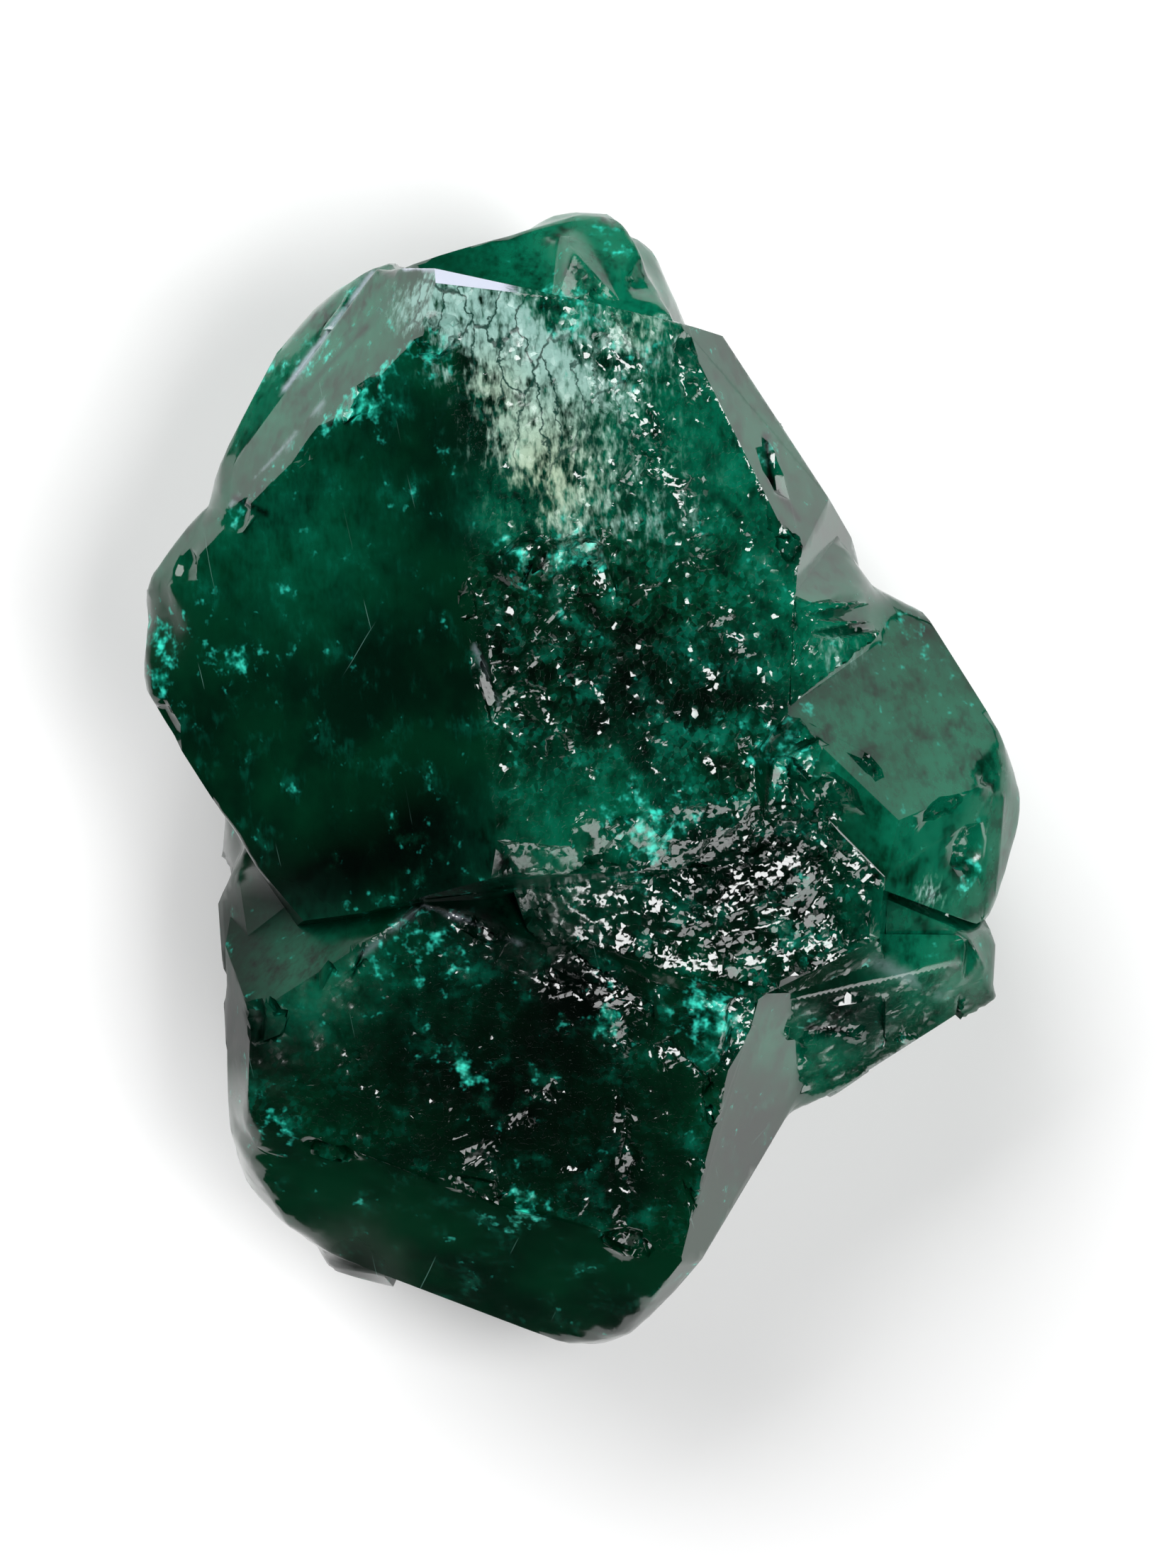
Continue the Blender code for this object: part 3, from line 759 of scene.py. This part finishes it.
    def break_sides(self, skin: Skin, rough: Array) -> None:
        """Raise hackly relief along the normals of the low sides, fading toward the floor and the top.

        Args:
            skin: The finely split skin.
            rough: How broken the surface is at each point, which this fills in for the sides.
        """
        under = skin.region == len(self.facets)
        inner = np.zeros(len(skin.points), dtype=bool)
        inner[skin.triangles[under]] = True
        inner[skin.triangles[~under]] = False
        places = skin.points[inner]
        height = places[:, 2]
        foot = smoothstep(*self.under_foot, height)
        fade = foot * smoothstep(self.under_top, self.under_top - self.under_fade, height)
        lift = self.under_height * fade * RELIEFS[Break.HACKLY].height(places)
        skin.points[inner] += lift[:, None] * skin.point_normals()[inner]
        rough[inner] = self.side_flaky * fade

    def to_object(self, skin: Skin, rough: Array) -> Object:
        """Write the skin into a new mesh in metres, with its soft patches as attributes.

        Args:
            skin: The finished skin.
            rough: How broken the surface is at each point.

        Returns:
            The object, with no material yet.
        """
        mesh = bpy.data.meshes.new("crystal_skin")
        mesh.vertices.add(len(skin.points))
        mesh.vertices.foreach_set("co", (skin.points / METRE).ravel())
        mesh.loops.add(skin.triangles.size)
        mesh.loops.foreach_set("vertex_index", skin.triangles.ravel())
        mesh.polygons.add(len(skin.triangles))
        mesh.polygons.foreach_set("loop_start", np.arange(0, skin.triangles.size, 3))
        mesh.update(calc_edges=True)
        mesh.polygons.foreach_set("use_smooth", np.ones(len(skin.triangles), dtype=bool))
        mesh.set_sharp_from_angle(angle=math.radians(self.sharp_angle))
        patches = {name: spots_weight(spots, skin.points) for name, spots in MARKINGS.items()}
        for name, values in {"rough": rough, **patches}.items():
            attribute = mesh.attributes.new(name, "FLOAT", "POINT")
            attribute.data.foreach_set("value", values.astype(np.float32))
        # Painted glare: the near-white colour on the top face stands in for a lamp's reflection and
        # fades out toward the face's right end
        across = skin.points[skin.triangles].mean(axis=1)[:, 0]
        shine = smoothstep(self.glare_end, self.glare_end - self.glare_fade, across)
        shine = (skin.region == self.facets.index(GLARE_TOP_FACE)) * shine
        attribute = mesh.attributes.new("painted_glare", "FLOAT", "FACE")
        attribute.data.foreach_set("value", shine.astype(np.float32))
        return into_scene("crystals", mesh)


def into_scene(name: str, data: ID) -> Object:
    """Make an object of some data and put it into the scene.

    Args:
        name: The object's name.
        data: Its mesh, lamp or camera.

    Returns:
        The object.
    """
    thing = bpy.data.objects.new(name, data)
    bpy.context.scene.collection.objects.link(thing)
    return thing


def linear(colour: str) -> Colour:
    """Turn an sRGB hex colour to linear by the sRGB formula.

    Args:
        colour: The colour as a hash sign and six hex digits.

    Returns:
        Linear red, green and blue, and a full alpha.
    """
    parts = [int(colour[k : k + 2], 16) / 255.0 for k in (1, 3, 5)]
    straight = [c / 12.92 if c <= 0.04045 else ((c + 0.055) / 1.055) ** 2.4 for c in parts]
    return (*straight, 1.0)


@dataclass
class Tree:
    """A material's node tree under construction.

    Args:
        tree: The node tree.
        shared: The patterns and soft patches that its parts share, by name.
    """

    tree: NodeTree
    shared: dict[str, Node | NodeSocket] = field(default_factory=dict)

    def __getitem__(self, name: str) -> Node | NodeSocket:
        """The shared pattern or patch of that name."""
        return self.shared[name]

    def add(self, kind: str, settings: dict | None = None, **links: object) -> Node:
        """Add a node, set its properties, and link or set its inputs.

        Args:
            kind: The node's type name, without the leading word that all share.
            settings: Properties of the node.
            links: Inputs by name, with underscores for spaces, or by number after the letter i. Each
                is an output socket, a node whose first output in use is meant, or a value.

        Returns:
            The node.
        """
        node = self.tree.nodes.new("ShaderNode" + kind)
        for name, value in (settings or {}).items():
            setattr(node, name, value)
        for name, value in links.items():
            key = int(name[1:]) if name[0] == "i" and name[1:].isdigit() else name.replace("_", " ")
            socket = node.inputs[key]
            if isinstance(value, Node):
                value = next(output for output in value.outputs if output.enabled)
            if isinstance(value, NodeSocket):
                self.tree.links.new(value, socket)
            else:
                socket.default_value = value
        return node


# What nodes are set to
TIMES = {"operation": "MULTIPLY", "use_clamp": True}
LARGER = {"operation": "MAXIMUM", "use_clamp": True}
LESS = {"operation": "SUBTRACT", "use_clamp": True}
NEAR = {"operation": "COMPARE"}
PLUS = {"operation": "ADD"}
MINUS = {"operation": "SUBTRACT"}
PRODUCT = {"operation": "MULTIPLY"}
DOT = {"operation": "DOT_PRODUCT"}
TIMES_PLUS = {"operation": "MULTIPLY_ADD"}
STRETCH = {"operation": "SCALE"}
SMOOTH = {"interpolation_type": "SMOOTHSTEP"}
BLEND = {"data_type": "RGBA"}
BEND = {"blend_type": "ADD"}
RIMS = {"feature": "DISTANCE_TO_EDGE", "voronoi_dimensions": "2D"}
BANDS = {"wave_type": "BANDS", "wave_profile": "SAW"}

# The bands of a wave texture stand this over its scale apart
WAVE_UNIT = math.tau / 20.0

# The middle of the scattered colours that a cell can have
MID_COLOUR = (0.5, 0.5, 0.5)


@dataclass(frozen=True)
class DioptaseFinish:
    """Dioptase: a glassy copper silicate, grown from water in rock cavities.

    It gives the eye a deep, slightly bluish green body that goes almost black where it is thick,
    turquoise veils and bruises where it is cracked inside, and a bright glassy lustre.

    The body's clouds are deep and middle green, and its fibres are teal. Its flakes are painted teal as
    flakes that catch the light and night as flakes in shade. Thin zones are painted bright as painted
    light, and thick ones are painted as dark as night as painted shade, like the cracks. Veils run up to
    turquoise. The frost turns to cream in parts and has lines of the grain colour, and its colour is
    partly a painted sheen.

    Args:
        index: Dioptase's refractive index.
        clearness: How much light gets through thick zones and thin ones, as shares.
        lustre: Specular level of the glassy skin and of the dull one.
        gloss: Least and greatest roughness of the glassy skin.
        dulled: What a veil, frost or a dull skin adds to the roughness.
        noises: Name, width and octaves of the clouds, the mottling, the flecks and the fibres.
        fibre_turn: Which way the fibres run, in radians.
        fibre_stretch: What places are multiplied by to draw the fibres out.
        flake_size: Width of the small flakes.
        noise_roughness: How strong each octave of a noise is against the one before.
        gather: How much a patch of veil or frost raises the noise that it is cut from.
        highlight_hold: The same for a painted highlight on an edge.
        fibre_share: How much the fibres count against the mottling.
        flake_share: How much a flake's tone, which follows its tilt as painted light and shade, counts
            against the mottling.
        speckle: How strongly the flakes show where the surface is broken.
        grain_size: Width of the cells whose rims are the lines in the frost.
        grain_stretch: The same for those cells.
        scratch_sets: For each slant, its turn in radians and how far apart its lines are.
        scratch_lean: How far both sets lean out of the level, about X and Y, in radians.
        scratch_stretch: The same for the scratches.
        scratch_width: Half the width of a scratch.
        scratch_bend: How strongly they are bent.
        scratched: How strong they are on a smooth face.
        wave_height: Height of the faint waves.
        bump_metres: The height in metres that a bump of 1 stands for.
        absorption_colour: What the crystal lets through, in linear red, green and blue.
        absorption_per_metre: How fast it takes up the rest.
    """

    deep: str = "#001a0e"
    middle: str = "#00301b"
    # The fibres, and the painted light on flakes that catch it
    teal: str = "#046650"
    # Painted light in the thin zones
    bright: str = "#048a66"
    # Painted shade in the thick zones and on flakes in shade, and the colour of the cracks
    night: str = "#000402"
    turquoise: str = "#35d8c0"
    veil: str = "#088870"
    # The frost's colour, partly a painted sheen
    frost_and_sheen: str = "#88b0a7"
    cream: str = "#a4b99e"
    grain: str = "#0d3a30"
    # The near-white colour of the painted glare and the painted highlights
    painted_highlight: str = "#c8cede"
    scratch: str = "#6f9c92"
    index: float = 1.66
    clearness: Pair = (0.06, 0.5)
    lustre: Pair = (0.5, 0.04)
    gloss: Pair = (0.03, 0.16)
    dulled: float = 0.28
    noises: tuple[tuple[str, float, float], ...] = (
        ("cloud", 3.4, 4.0),
        ("fine", 0.9, 4.0),
        ("flecks", 0.32, 2.0),
        ("fibre", 0.16, 2.0),
    )
    fibre_turn: float = 0.35
    fibre_stretch: Place = (1.0, 0.4, 1.0)
    flake_size: float = 0.15
    noise_roughness: float = 0.6
    gather: float = 0.42
    highlight_hold: float = 0.3
    fibre_share: float = 0.4
    flake_share: float = 0.25
    speckle: float = 1.6
    grain_size: float = 0.8
    grain_stretch: Place = (1.0, 0.4, 0.6)
    scratch_sets: tuple[Pair, ...] = ((0.9, 1.3), (-0.35, 0.9))
    scratch_lean: Pair = (0.2, 0.1)
    scratch_stretch: Place = (1.0, 0.6, 0.6)
    scratch_width: float = 0.008
    scratch_bend: float = 1.2
    scratched: float = 0.45
    wave_height: float = 0.003
    bump_metres: float = 0.0005
    absorption_colour: Colour = (0.02, 0.72, 0.52, 1.0)
    absorption_per_metre: float = 420.0

    def build(self) -> Material:
        """Make the material.

        Returns:
            The material, with every pattern on Object coordinates in millimetres.
        """
        material = bpy.data.materials.new("dioptase_crystal")
        material.use_nodes = True
        material.node_tree.nodes.clear()
        tree = Tree(material.node_tree)
        self.add_patterns(tree)
        lit, dull = tree["lit"], tree["dull"]
        veils, frost_and_sheen, painted_glare = self.veils(tree), self.frost_and_sheen_share(tree), self.glare_and_highlights(tree)
        solid = tree.add("Math", LARGER, i0=veils, i1=tree.add("Math", LARGER, i0=frost_and_sheen, i1=painted_glare))
        open_share = tree.add("Math", LESS, i0=1.0, i1=solid)
        clear = tree.add("MapRange", Value=lit, To_Min=self.clearness[0], To_Max=self.clearness[1])
        shine = tree.add("MapRange", Value=dull, To_Min=self.lustre[0], To_Max=self.lustre[1])
        shader = tree.add(
            "BsdfPrincipled",
            Base_Color=self.colour(tree, veils, frost_and_sheen, painted_glare),
            Roughness=self.roughness(tree, solid),
            Transmission_Weight=tree.add("Math", TIMES, i0=open_share, i1=clear),
            Specular_IOR_Level=shine,
            Normal=self.bump(tree),
            IOR=self.index,
        )
        volume = tree.add(
            "VolumeAbsorption", Color=self.absorption_colour, Density=self.absorption_per_metre
        )
        tree.add("OutputMaterial", Surface=shader, Volume=volume)
        LOG.info("material %s: %d nodes", material.name, len(material.node_tree.nodes))
        return material

    def add_patterns(self, tree: Tree) -> None:
        """Make the patterns that the parts of the finish share.

        mm is the place in millimetres. cloud, fine, flecks and fibre are noises, from the broadest
        down. flake is the cells of a broken face. The rest are the soft patches of the skin.

        Args:
            tree: The material's nodes.
        """
        mm = tree.add("VectorMath", STRETCH, i0=tree.add("TexCoord").outputs["Object"], Scale=METRE)
        turn = (0.0, 0.0, self.fibre_turn)
        long = tree.add("Mapping", Vector=mm, Rotation=turn, Scale=self.fibre_stretch)
        for name, size, detail in self.noises:
            place = long if name == "fibre" else mm
            tree.shared[name] = tree.add(
                "TexNoise", Vector=place, Scale=1.0 / size, Detail=detail, Roughness=self.noise_roughness
            )
        for name in ("rough", "painted_glare", *MARKINGS):
            tree.shared[name] = tree.add("Attribute", {"attribute_name": name}).outputs["Fac"]
        flake = tree.add("TexVoronoi", Vector=mm, Scale=1.0 / self.flake_size)
        tree.shared.update(mm=mm, flake=flake)

    def veils(self, tree: Tree) -> Node:
        """Turquoise veils: the highest parts of two noises together, gathered by the veil spots.

        Args:
            tree: The material's nodes.

        Returns:
            How much of the colour is veil.
        """
        both = tree.add("Math", PLUS, i0=tree["fine"], i1=tree["flecks"])
        total = tree.add("Math", TIMES_PLUS, i0=tree["veil"], i1=self.gather, i2=both)
        return tree.add("MapRange", SMOOTH, Value=total, From_Min=1.2, From_Max=1.6)

    def frost_and_sheen_share(self, tree: Tree) -> Node:
        """Pale frost, whose colour is partly a painted sheen, thinning out into flecks away from the
        frost spots.

        Args:
            tree: The material's nodes.

        Returns:
            How much of the colour is frost and its painted sheen.
        """
        both = tree.add("Math", PLUS, i0=tree["fine"], i1=tree["fibre"])
        total = tree.add("Math", TIMES_PLUS, i0=tree["frost_and_sheen"], i1=self.gather, i2=both)
        share = tree.add("MapRange", SMOOTH, Value=total, From_Min=1.1, From_Max=1.55)
        near = tree.add("MapRange", SMOOTH, Value=tree["frost_and_sheen"], From_Min=0.02, From_Max=0.35)
        return tree.add("Math", TIMES, i0=share, i1=near)

    def glare_and_highlights(self, tree: Tree) -> Node:
        """The painted glare of the top face, and the painted highlights on edges with gaps where the
        mottling is low.

        Args:
            tree: The material's nodes.

        Returns:
            How much of the colour is painted glare and painted highlight.
        """
        edges = tree["painted_highlight"]
        both = tree.add("Math", TIMES_PLUS, i0=edges, i1=self.highlight_hold, i2=tree["fine"])
        share = tree.add("MapRange", SMOOTH, Value=both, From_Min=0.45, From_Max=0.68)
        painted_highlight = tree.add("Math", TIMES, i0=share, i1=edges)
        return tree.add("Math", LARGER, i0=tree["painted_glare"], i1=painted_highlight)

    def grain_lines(self, tree: Tree) -> Node:
        """Thin wavy dark lines in the frost: the rims of long cells in a space bent by noise.

        Args:
            tree: The material's nodes.

        Returns:
            How much of the colour is line.
        """
        bent = tree.add("MixRGB", BEND, i0=1.0, i1=tree["mm"], i2=tree["fine"].outputs["Color"])
        long = tree.add("Mapping", Vector=bent, Scale=self.grain_stretch)
        rims = tree.add("TexVoronoi", RIMS, Vector=long, Scale=1.0 / self.grain_size)
        line = tree.add("MapRange", SMOOTH, Value=rims, From_Min=0.05, From_Max=0.01)
        return tree.add("Math", TIMES, i0=line, i1=tree["frost_and_sheen"])

    def scratches(self, tree: Tree) -> Node:
        """Scratches on smooth faces: short lengths of thin, slightly bent lines at two slants.

        Real ones are too fine to show, so they are drawn about as wide as a pixel of the photo.

        Args:
            tree: The material's nodes.

        Returns:
            How much of the colour is scratch.
        """
        found = []
        for slant, apart in self.scratch_sets:
            turn = (*self.scratch_lean, slant)
            turned = tree.add("Mapping", Vector=tree["mm"], Rotation=turn, Scale=self.scratch_stretch)
            saw = tree.add(
                "TexWave", BANDS, Vector=turned, Scale=WAVE_UNIT / apart, Distortion=self.scratch_bend
            )
            line = tree.add("Math", NEAR, i0=saw.outputs["Fac"], i1=0.5, i2=self.scratch_width / apart)
            where = tree.add("TexNoise", Vector=turned, Scale=1.0 / apart, Detail=0.0)
            kept = tree.add("MapRange", SMOOTH, Value=where, From_Min=0.7, From_Max=0.84)
            found.append(tree.add("Math", TIMES, i0=line, i1=kept))
        both = tree.add("Math", LARGER, i0=found[0], i1=found[1])
        smooth = tree.add("Math", LESS, i0=self.scratched, i1=tree["rough"])
        return tree.add("Math", TIMES, i0=both, i1=smooth)

    def green(self, tree: Tree) -> Node:
        """The green of the body: clouds and fibres, with painted light and shade on the flakes and in
        the thin and thick zones.

        Args:
            tree: The material's nodes.

        Returns:
            The colour.
        """
        fine, tone = tree["fine"], tree["flake"].outputs["Color"]
        fibres = tree.add("Math", TIMES_PLUS, i0=tree["fibre"], i1=self.fibre_share, i2=fine)
        flake_light_and_shade = tree.add("Math", TIMES_PLUS, i0=tone, i1=self.flake_share, i2=fine)
        broken = tree.add("Math", TIMES, i0=tree["rough"], i1=self.speckle)
        # A pattern, the levels that a colour comes in between, its full share, where, and the colour
        layers = (
            (tree["cloud"], 0.36, 0.64, 1.0, None, self.middle),
            (fibres, 0.72, 1.0, 0.4, None, self.teal),
            # Flake tones follow each flake's tilt: painted light on flakes that catch it, painted shade
            # on the rest
            (flake_light_and_shade, 0.6, 0.86, 1.0, broken, self.teal),
            (flake_light_and_shade, 0.66, 0.44, 1.0, broken, self.night),
            # Painted shade: night-dark where the crystal is thick
            (fine, 0.9, 0.52, 1.0, tree["dark"], self.night),
            # Painted light: bright green where light comes through the thin crystal, which is also
            # clearer there
            (fibres, 0.4, 0.8, 1.0, tree["lit"], self.bright),
        )
        body = linear(self.deep)
        for pattern, low, high, most, where, shade in layers:
            share = tree.add("MapRange", SMOOTH, Value=pattern, From_Min=low, From_Max=high, To_Max=most)
            if where is not None:
                share = tree.add("Math", TIMES, i0=share, i1=where)
            body = tree.add("Mix", BLEND, i0=share, i6=body, i7=linear(shade))
        return body

    def colour(self, tree: Tree, veils: Node, frost_and_sheen: Node, painted_glare: Node) -> Node:
        """Lay the veils, the frost with its painted sheen and lines, the painted glare and highlights,
        the cracks and scratches over the green.

        Args:
            tree: The material's nodes.
            veils: How much of the colour is veil.
            frost_and_sheen: How much of it is frost and its painted sheen.
            painted_glare: How much of it is painted glare and painted highlight.

        Returns:
            The colour.
        """
        cream = tree["cream"]
        share = tree.add("MapRange", SMOOTH, Value=tree["flecks"], From_Min=0.45, From_Max=0.7)
        veil = tree.add("Mix", BLEND, i0=share, i6=linear(self.veil), i7=linear(self.turquoise))
        frost_and_sheen_colour = tree.add("Mix", BLEND, i0=cream, i6=linear(self.frost_and_sheen), i7=linear(self.cream))
        body = self.green(tree)
        for share, shade in (
            (veils, veil),
            (frost_and_sheen, frost_and_sheen_colour),
            (self.grain_lines(tree), linear(self.grain)),
            (painted_glare, linear(self.painted_highlight)),
            (tree["crack"], linear(self.night)),
            (self.scratches(tree), linear(self.scratch)),
        ):
            body = tree.add("Mix", BLEND, i0=share, i6=body, i7=shade)
        return body

    def roughness(self, tree: Tree, solid: Node) -> Node:
        """Glassy faces with slightly duller clouds; veils, frost and dull crystals are duller still.

        Args:
            tree: The material's nodes.
            solid: How much of the colour is veil, frost, painted glare or painted highlight.

        Returns:
            The roughness.
        """
        base = tree.add("MapRange", Value=tree["fine"], To_Min=self.gloss[0], To_Max=self.gloss[1])
        duller = tree.add("Math", LARGER, i0=solid, i1=tree["dull"])
        return tree.add("Math", TIMES_PLUS, i0=duller, i1=self.dulled, i2=base)

    def bump(self, tree: Tree) -> Node:
        """Tiny tilted flakes on the broken faces over the faintest waves everywhere.

        Args:
            tree: The material's nodes.

        Returns:
            The normal.
        """
        offset = tree.add("VectorMath", MINUS, i0=tree["mm"], i1=tree["flake"].outputs["Position"])
        slope = tree.add("VectorMath", MINUS, i0=tree["flake"].outputs["Color"], i1=MID_COLOUR)
        tilted = tree.add("VectorMath", DOT, i0=offset, i1=slope).outputs["Value"]
        much = tree.add("Math", PRODUCT, i0=tilted, i1=tree["rough"])
        height = tree.add("Math", TIMES_PLUS, i0=tree["flecks"], i1=self.wave_height, i2=much)
        return tree.add("Bump", Strength=1.0, Distance=self.bump_metres, Height=height)


@dataclass(frozen=True)
class SoftLight:
    """A square soft light that looks at the specimen.

    Blender's square light of power P and area A has a radiance of P / (4 A).

    Args:
        name: What it is for.
        bearing: Where it stands, in degrees from +X, seen from above.
        off_zenith: Degrees between straight up and the way to it.
        distance: How far it is.
        size: Its side.
        radiance: How bright its face is, where a lit white floor is about 1.
    """

    name: str
    bearing: float
    off_zenith: float
    distance: float
    size: float
    radiance: float

    def build(self) -> None:
        """Make the light, at the power that gives its radiance."""
        side = self.size / METRE
        data = bpy.data.lights.new(self.name, "AREA")
        data.shape = "SQUARE"
        data.size = side
        data.energy = 4.0 * self.radiance * side * side
        way = Vector(direction(self.bearing, self.off_zenith))
        lamp = into_scene(self.name, data)
        lamp.location = way * (self.distance / METRE) + Vector((0.0, 0.0, MIDDLE_HEIGHT / METRE))
        lamp.rotation_euler = way.to_track_quat("Z", "Y").to_euler()


@dataclass(frozen=True)
class Studio:
    """The pale floor, the soft lights and the camera.

    Args:
        camera_height: Height of the lens above the floor.
        sensor: Width of the camera's sensor.
        nearest: How near the camera sees, in metres.
        floor_size: Side of the floor.
        floor_colour: The floor's paint.
        floor_roughness: How matt the paint is.
        floor_lustre: Its specular level.
        surround: Brightness of the room.
        lights: The soft lights.
    """

    camera_height: float = 409.0
    sensor: float = 36.0
    nearest: float = 0.01
    floor_size: float = 160.0
    floor_colour: str = "#f4f4f4"
    floor_roughness: float = 0.9
    floor_lustre: float = 0.1
    surround: float = 0.012
    lights: tuple[SoftLight, ...] = (
        SoftLight("window", bearing=125.0, off_zenith=46.0, distance=420.0, size=380.0, radiance=3.9),
        SoftLight("fill_box", bearing=310.0, off_zenith=70.0, distance=420.0, size=260.0, radiance=3.0),
        SoftLight("top_box", bearing=345.0, off_zenith=19.0, distance=420.0, size=160.0, radiance=11.0),
        SoftLight("edge_box", bearing=42.0, off_zenith=79.0, distance=300.0, size=100.0, radiance=0.6),
    )

    def build(self) -> None:
        """Make the floor, the room, the lights and the camera."""
        self.floor()
        self.room()
        for light in self.lights:
            light.build()
        self.camera()
        bpy.context.scene.view_settings.view_transform = "Standard"

    def floor(self) -> None:
        """Make a flat square floor at height 0 with a matt paint."""
        half = self.floor_size / 2 / METRE
        corners = [(-half, -half, 0.0), (half, -half, 0.0), (half, half, 0.0), (-half, half, 0.0)]
        mesh = bpy.data.meshes.new("floor")
        mesh.from_pydata(corners, [], [(0, 1, 2, 3)])
        paint = bpy.data.materials.new("matt_floor_paint")
        paint.use_nodes = True
        shader = paint.node_tree.nodes["Principled BSDF"]
        shader.inputs["Base Color"].default_value = linear(self.floor_colour)
        shader.inputs["Roughness"].default_value = self.floor_roughness
        shader.inputs["Specular IOR Level"].default_value = self.floor_lustre
        mesh.materials.append(paint)
        floor = into_scene("floor", mesh)

    def room(self) -> None:
        """Make an even dim surround."""
        world = bpy.data.worlds.new("room")
        world.use_nodes = True
        back = world.node_tree.nodes["Background"]
        back.inputs["Color"].default_value = (self.surround, self.surround, self.surround, 1.0)
        bpy.context.scene.world = world

    def camera(self) -> None:
        """Put a long lens straight above, whose frame is as high as the photo's."""
        data = bpy.data.cameras.new("camera")
        data.sensor_fit = "AUTO"
        data.sensor_width = self.sensor
        reach = self.camera_height - MIDDLE_HEIGHT
        data.lens = data.sensor_width * reach / (PHOTO_SIZE[1] * PHOTO_SCALE)
        data.clip_start = self.nearest
        camera = into_scene("camera", data)
        x = (PHOTO_SIZE[0] / 2 - PHOTO_CENTRE[0]) * PHOTO_SCALE
        y = (PHOTO_CENTRE[1] - PHOTO_SIZE[1] / 2) * PHOTO_SCALE
        camera.location = (x / METRE, y / METRE, self.camera_height / METRE)
        bpy.context.scene.camera = camera


def main() -> None:
    """Build the studio and the specimen."""
    logging.basicConfig(level=logging.INFO, format="%(name)s: %(message)s")
    Studio().build()
    CrystalCluster().build(DioptaseFinish())


if __name__ == "__main__":
    main()
